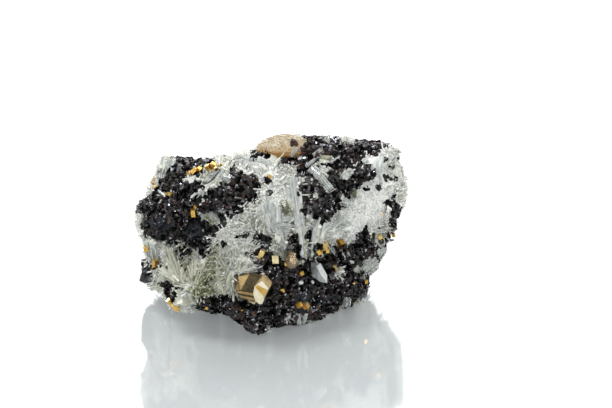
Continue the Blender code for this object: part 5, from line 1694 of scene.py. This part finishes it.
# Red-brown crystals on the dome: across, up, half width.
DOME_CRYSTALS = [
    (6.5, 57.5, 0.95), (7.3, 56.8, 0.8), (6.2, 56.6, 0.6), (10.4, 56.4, 0.9), (11.2, 57.4, 0.8),
    (9.4, 55.3, 0.9), (10.3, 54.6, 0.9), (9.5, 53.9, 0.8), (-2.6, 53.6, 0.8), (-3.8, 53.2, 0.7),
    (-1.4, 53.4, 0.7), (-0.6, 52.8, 0.6), (-4.8, 53.6, 0.6),
]
# The grey crystal on the dome: where it starts and ends in the view, and half its width.
DOME_PRISM = [(5.9, 53.1), (7.9, 55.9)]
DOME_PRISM_HALF = 0.8
DOME_GRAINS = 900
# The clear grey crystal's outline in the view and its ridge.
CLEAR_OUTLINE = [(11.8, 21.9), (14.6, 21.6), (16.6, 18.0), (16.6, 15.6), (14.6, 16.0), (12.0, 17.8)]
CLEAR_RIDGE = [(13.4, 20.6), (15.2, 17.4), (13.4, 18.6)]


class SPECIMEN_OT_clear(bpy.types.Operator):
    """Set the clear grey crystal and the tan dome"""

    bl_idname = "specimen.clear"
    bl_label = "Clear crystal and tan dome"

    def execute(self, context):
        crystal = Cluster()
        crystal.add_hull(faceted(CLEAR_OUTLINE, CLEAR_RIDGE), [
            ((0.8, -0.2, 0.6), 0.95), ((-0.6, 0.3, 0.8), 0.2), ((0.2, -0.8, 0.6), 0.5)])
        finish = prism_finish("clear_grey", (0.70, 0.74, 0.78), 260.0)
        crystal.piece("clear_grey_form", finish, replaces=["clear_grey_crystal"])
        self.dome()
        return {"FINISHED"}

    def dome(self):
        """An ellipsoid pushed in and out by noise: grains over lumps."""
        across, up = DOME_PLACE
        level = max(to_view(box_middle("calcite_dome"))[2], ALL_SOLIDS.front(across, up - 2.0) - 3.2)
        turns = np.linspace(0.0, 2.0 * math.pi, 129)[:-1]
        rises = np.linspace(-math.pi / 2.0 + 0.02, math.pi / 2.0 - 0.02, 60)
        rise, turn = np.meshgrid(rises, turns, indexing="ij")
        ball = np.stack((np.cos(rise) * np.cos(turn), np.sin(rise), -np.cos(rise) * np.sin(turn)), axis=-1)
        flat = ball.reshape(-1, 3)
        relief = 1.0 + 0.07 * ripple(flat, 0.6, 7) + 0.025 * ripple(flat, 0.15, 8)
        radii = np.array([*DOME_HALF, DOME_HALF[1]])
        points = flat * radii * relief[:, None] + [*DOME_PLACE, level]
        dome = Cluster()
        dome.add_grid(points.reshape(ball.shape), closed=True)
        rng = np.random.default_rng(16)
        grains = rng.choice(len(points), DOME_GRAINS, replace=False)
        grain_sizes = rng.uniform(0.15, 0.36, (DOME_GRAINS, 1)) * [1.0, 1.0, 1.2]
        axes = tilted(flat[grains], 0.5, rng)
        rolls = rng.uniform(0.0, 6.0, DOME_GRAINS)
        dome.grow(GRAIN, points[grains], axes, rolls, grain_sizes, rng.random(DOME_GRAINS))
        self.on_top(points, rng)
        dome.piece("calcite_grains", calcite_finish(), replaces=["calcite_dome"])

    def laid_on(self, surface, spots):
        """Places on the dome's front surface at spots (N, 2) of the view, or on the solids beside it."""
        apart = np.linalg.norm(surface[None, :, :2] - spots[:, None], axis=2)
        nearest = np.where(apart < 0.5, surface[:, 2], -FAR).max(axis=1)
        beside = np.array([ALL_SOLIDS.front(*spot) for spot in spots])
        return np.column_stack((spots, np.where(nearest > -FAR, nearest, beside)))

    def on_top(self, surface, rng):
        """Red-brown crystals and a grey one set on the front of the dome."""
        start, end = self.laid_on(surface, np.array(DOME_PRISM))
        length = np.linalg.norm(end - start)
        prism = Cluster()
        prism.grow(PRISM, start[None], ((end - start) / length)[None], np.array([0.2]),
                   np.array([[DOME_PRISM_HALF, DOME_PRISM_HALF, length]]), np.array([0.35]))
        finish = prism_finish("quartz_dome_prism", (0.80, 0.88, 0.82), 160.0)
        prism.piece("quartz_on_dome", finish)
        spots = np.array(DOME_CRYSTALS)
        count = len(spots)
        crystals = Cluster()
        places = self.laid_on(surface, spots[:, :2])
        axes = unit(rng.normal(0.0, 1.0, (count, 3)))
        rolls = rng.uniform(0.0, 6.0, count)
        shape = np.repeat(spots[:, 2:], 3, axis=1)
        crystals.grow(BLOCK, places, axes, rolls, shape, rng.uniform(0.58, 0.75, count))
        crystals.piece("galena_on_dome", galena_finish())


class SPECIMEN_OT_stage(bpy.types.Operator):
    """Put up the floor, the lights and the camera"""

    bl_idname = "specimen.stage"
    bl_label = "Floor, lights and camera"

    def execute(self, context):
        stage_floor()
        stage_world()
        stage_lamps()
        stage_camera()
        context.scene.view_settings.view_transform = "Standard"
        return {"FINISHED"}


def stage_floor():
    """A pale polished floor."""
    half = lights().floor_size / 2.0
    mesh = bpy.data.meshes.new("floor")
    mesh.from_pydata([(-half, -half, 0.0), (half, -half, 0.0), (half, half, 0.0), (-half, half, 0.0)], [],
                     [(0, 1, 2, 3)])
    floor = bpy.data.objects.new("floor", mesh)
    bpy.context.scene.collection.objects.link(floor)
    finish = Finish("floor")
    tone = lights().floor_tone
    shader = finish.principled(Base_Color=(tone * 0.93, tone * 0.985, tone * 1.0), Roughness=0.07,
                               IOR=lights().floor_gloss, Emission_Color=(0.93, 0.985, 1.0),
                               Emission_Strength=lights().floor_glow)
    floor.data.materials.append(finish.done(shader))


def stage_world():
    """Even light from all round, brighter behind the specimen."""
    world = bpy.data.worlds.new("studio")
    bpy.context.scene.world = world
    finish = Finish("studio", world)
    way = finish.node("ShaderNodeTexCoord", output=0)
    depth = finish.node("ShaderNodeSeparateXYZ", {}, {0: way}, output=1)
    strength = finish.level(depth, [(0.35, 0.0), (0.75, 1.0)]) * (lights().backdrop - lights().room)
    finish.node_without_output("ShaderNodeOutputWorld", {
        "Surface": finish.node("ShaderNodeBackground", {}, {0: (1.0, 1.0, 1.0, 1.0),
                                                            1: strength + lights().room})})


# Each lamp: its name, where it stands (metres), the side of its square, and which power it takes.
LAMPS = [
    ("key_lamp", (-0.35, -0.15, 0.75), 0.35, "key"),
    ("left_lamp", (-0.60, -0.35, 0.30), 0.12, "side"),
    ("right_lamp", (0.55, -0.30, 0.45), 0.12, "side"),
    ("front_lamp", (0.10, -0.75, 0.62), 0.10, "side"),
    ("rear_lamp", (0.30, 0.60, 0.60), 0.30, "side"),
]
AIM = Vector((0.0, 0.0, 0.025))


def stage_lamps():
    """Square lamps turned to the specimen."""
    for name, place, side, power in LAMPS:
        lamp = bpy.data.lights.new(name, "AREA")
        lamp.size = side
        lamp.energy = getattr(lights(), power)
        made = bpy.data.objects.new(name, lamp)
        bpy.context.scene.collection.objects.link(made)
        made.location = place
        made.rotation_euler = (AIM - Vector(place)).to_track_quat("-Z", "Y").to_euler()


FRAME_MIDDLE = (10.35, 39.0, -4.0)
SENSOR = 36.0


def stage_camera():
    """The photograph's view: from the front, at its elevation, and as wide at the specimen as the picture."""
    data = bpy.data.cameras.new("camera")
    data.lens = lights().lens
    data.sensor_width = SENSOR
    camera = bpy.data.objects.new("camera", data)
    bpy.context.scene.collection.objects.link(camera)
    distance = lights().frame_width * data.lens / SENSOR
    spot = np.array(FRAME_MIDDLE) + np.array([0.0, 0.0, distance])
    camera.location = to_frame(spot)
    camera.rotation_euler = (math.pi / 2.0 - VIEW_ELEVATION, 0.0, 0.0)
    bpy.context.scene.camera = camera


class SPECIMEN_PT_panel(bpy.types.Panel):
    """The specimen's pieces, sizes and colours"""

    bl_label = "Specimen"
    bl_idname = "SPECIMEN_PT_panel"
    bl_space_type = "VIEW_3D"
    bl_region_type = "UI"
    bl_category = "Specimen"

    def draw(self, context):
        """Lists the operators and what can be changed."""
        layout = self.layout
        for operator in OPERATORS:
            layout.operator(operator.bl_idname)
        for group in (sizes(), colours(), lights()):
            box = layout.box()
            for key in group.__annotations__:
                box.prop(group, key)


OPERATORS = [
    SPECIMEN_OT_rock, SPECIMEN_OT_galena, SPECIMEN_OT_druse, SPECIMEN_OT_prisms, SPECIMEN_OT_pyrite,
    SPECIMEN_OT_clear, SPECIMEN_OT_stage,
]
GROUPS = {
    "specimen_sizes": SPECIMEN_PG_sizes,
    "specimen_colours": SPECIMEN_PG_colours,
    "specimen_stage": SPECIMEN_PG_stage,
}


def register():
    """Registers the classes and hangs the groups on the scene."""
    for made in (*GROUPS.values(), *OPERATORS, SPECIMEN_PT_panel):
        bpy.utils.register_class(made)
    for key, group in GROUPS.items():
        setattr(bpy.types.Scene, key, bpy.props.PointerProperty(type=group))


def unregister():
    """Undoes register."""
    for key in GROUPS:
        delattr(bpy.types.Scene, key)
    for made in reversed((*GROUPS.values(), *OPERATORS, SPECIMEN_PT_panel)):
        bpy.utils.unregister_class(made)


def main():
    """Builds every piece and the stage."""
    register()
    for operator in OPERATORS:
        family, name = operator.bl_idname.split(".")
        getattr(getattr(bpy.ops, family), name)()


if __name__ == "__main__":
    main()
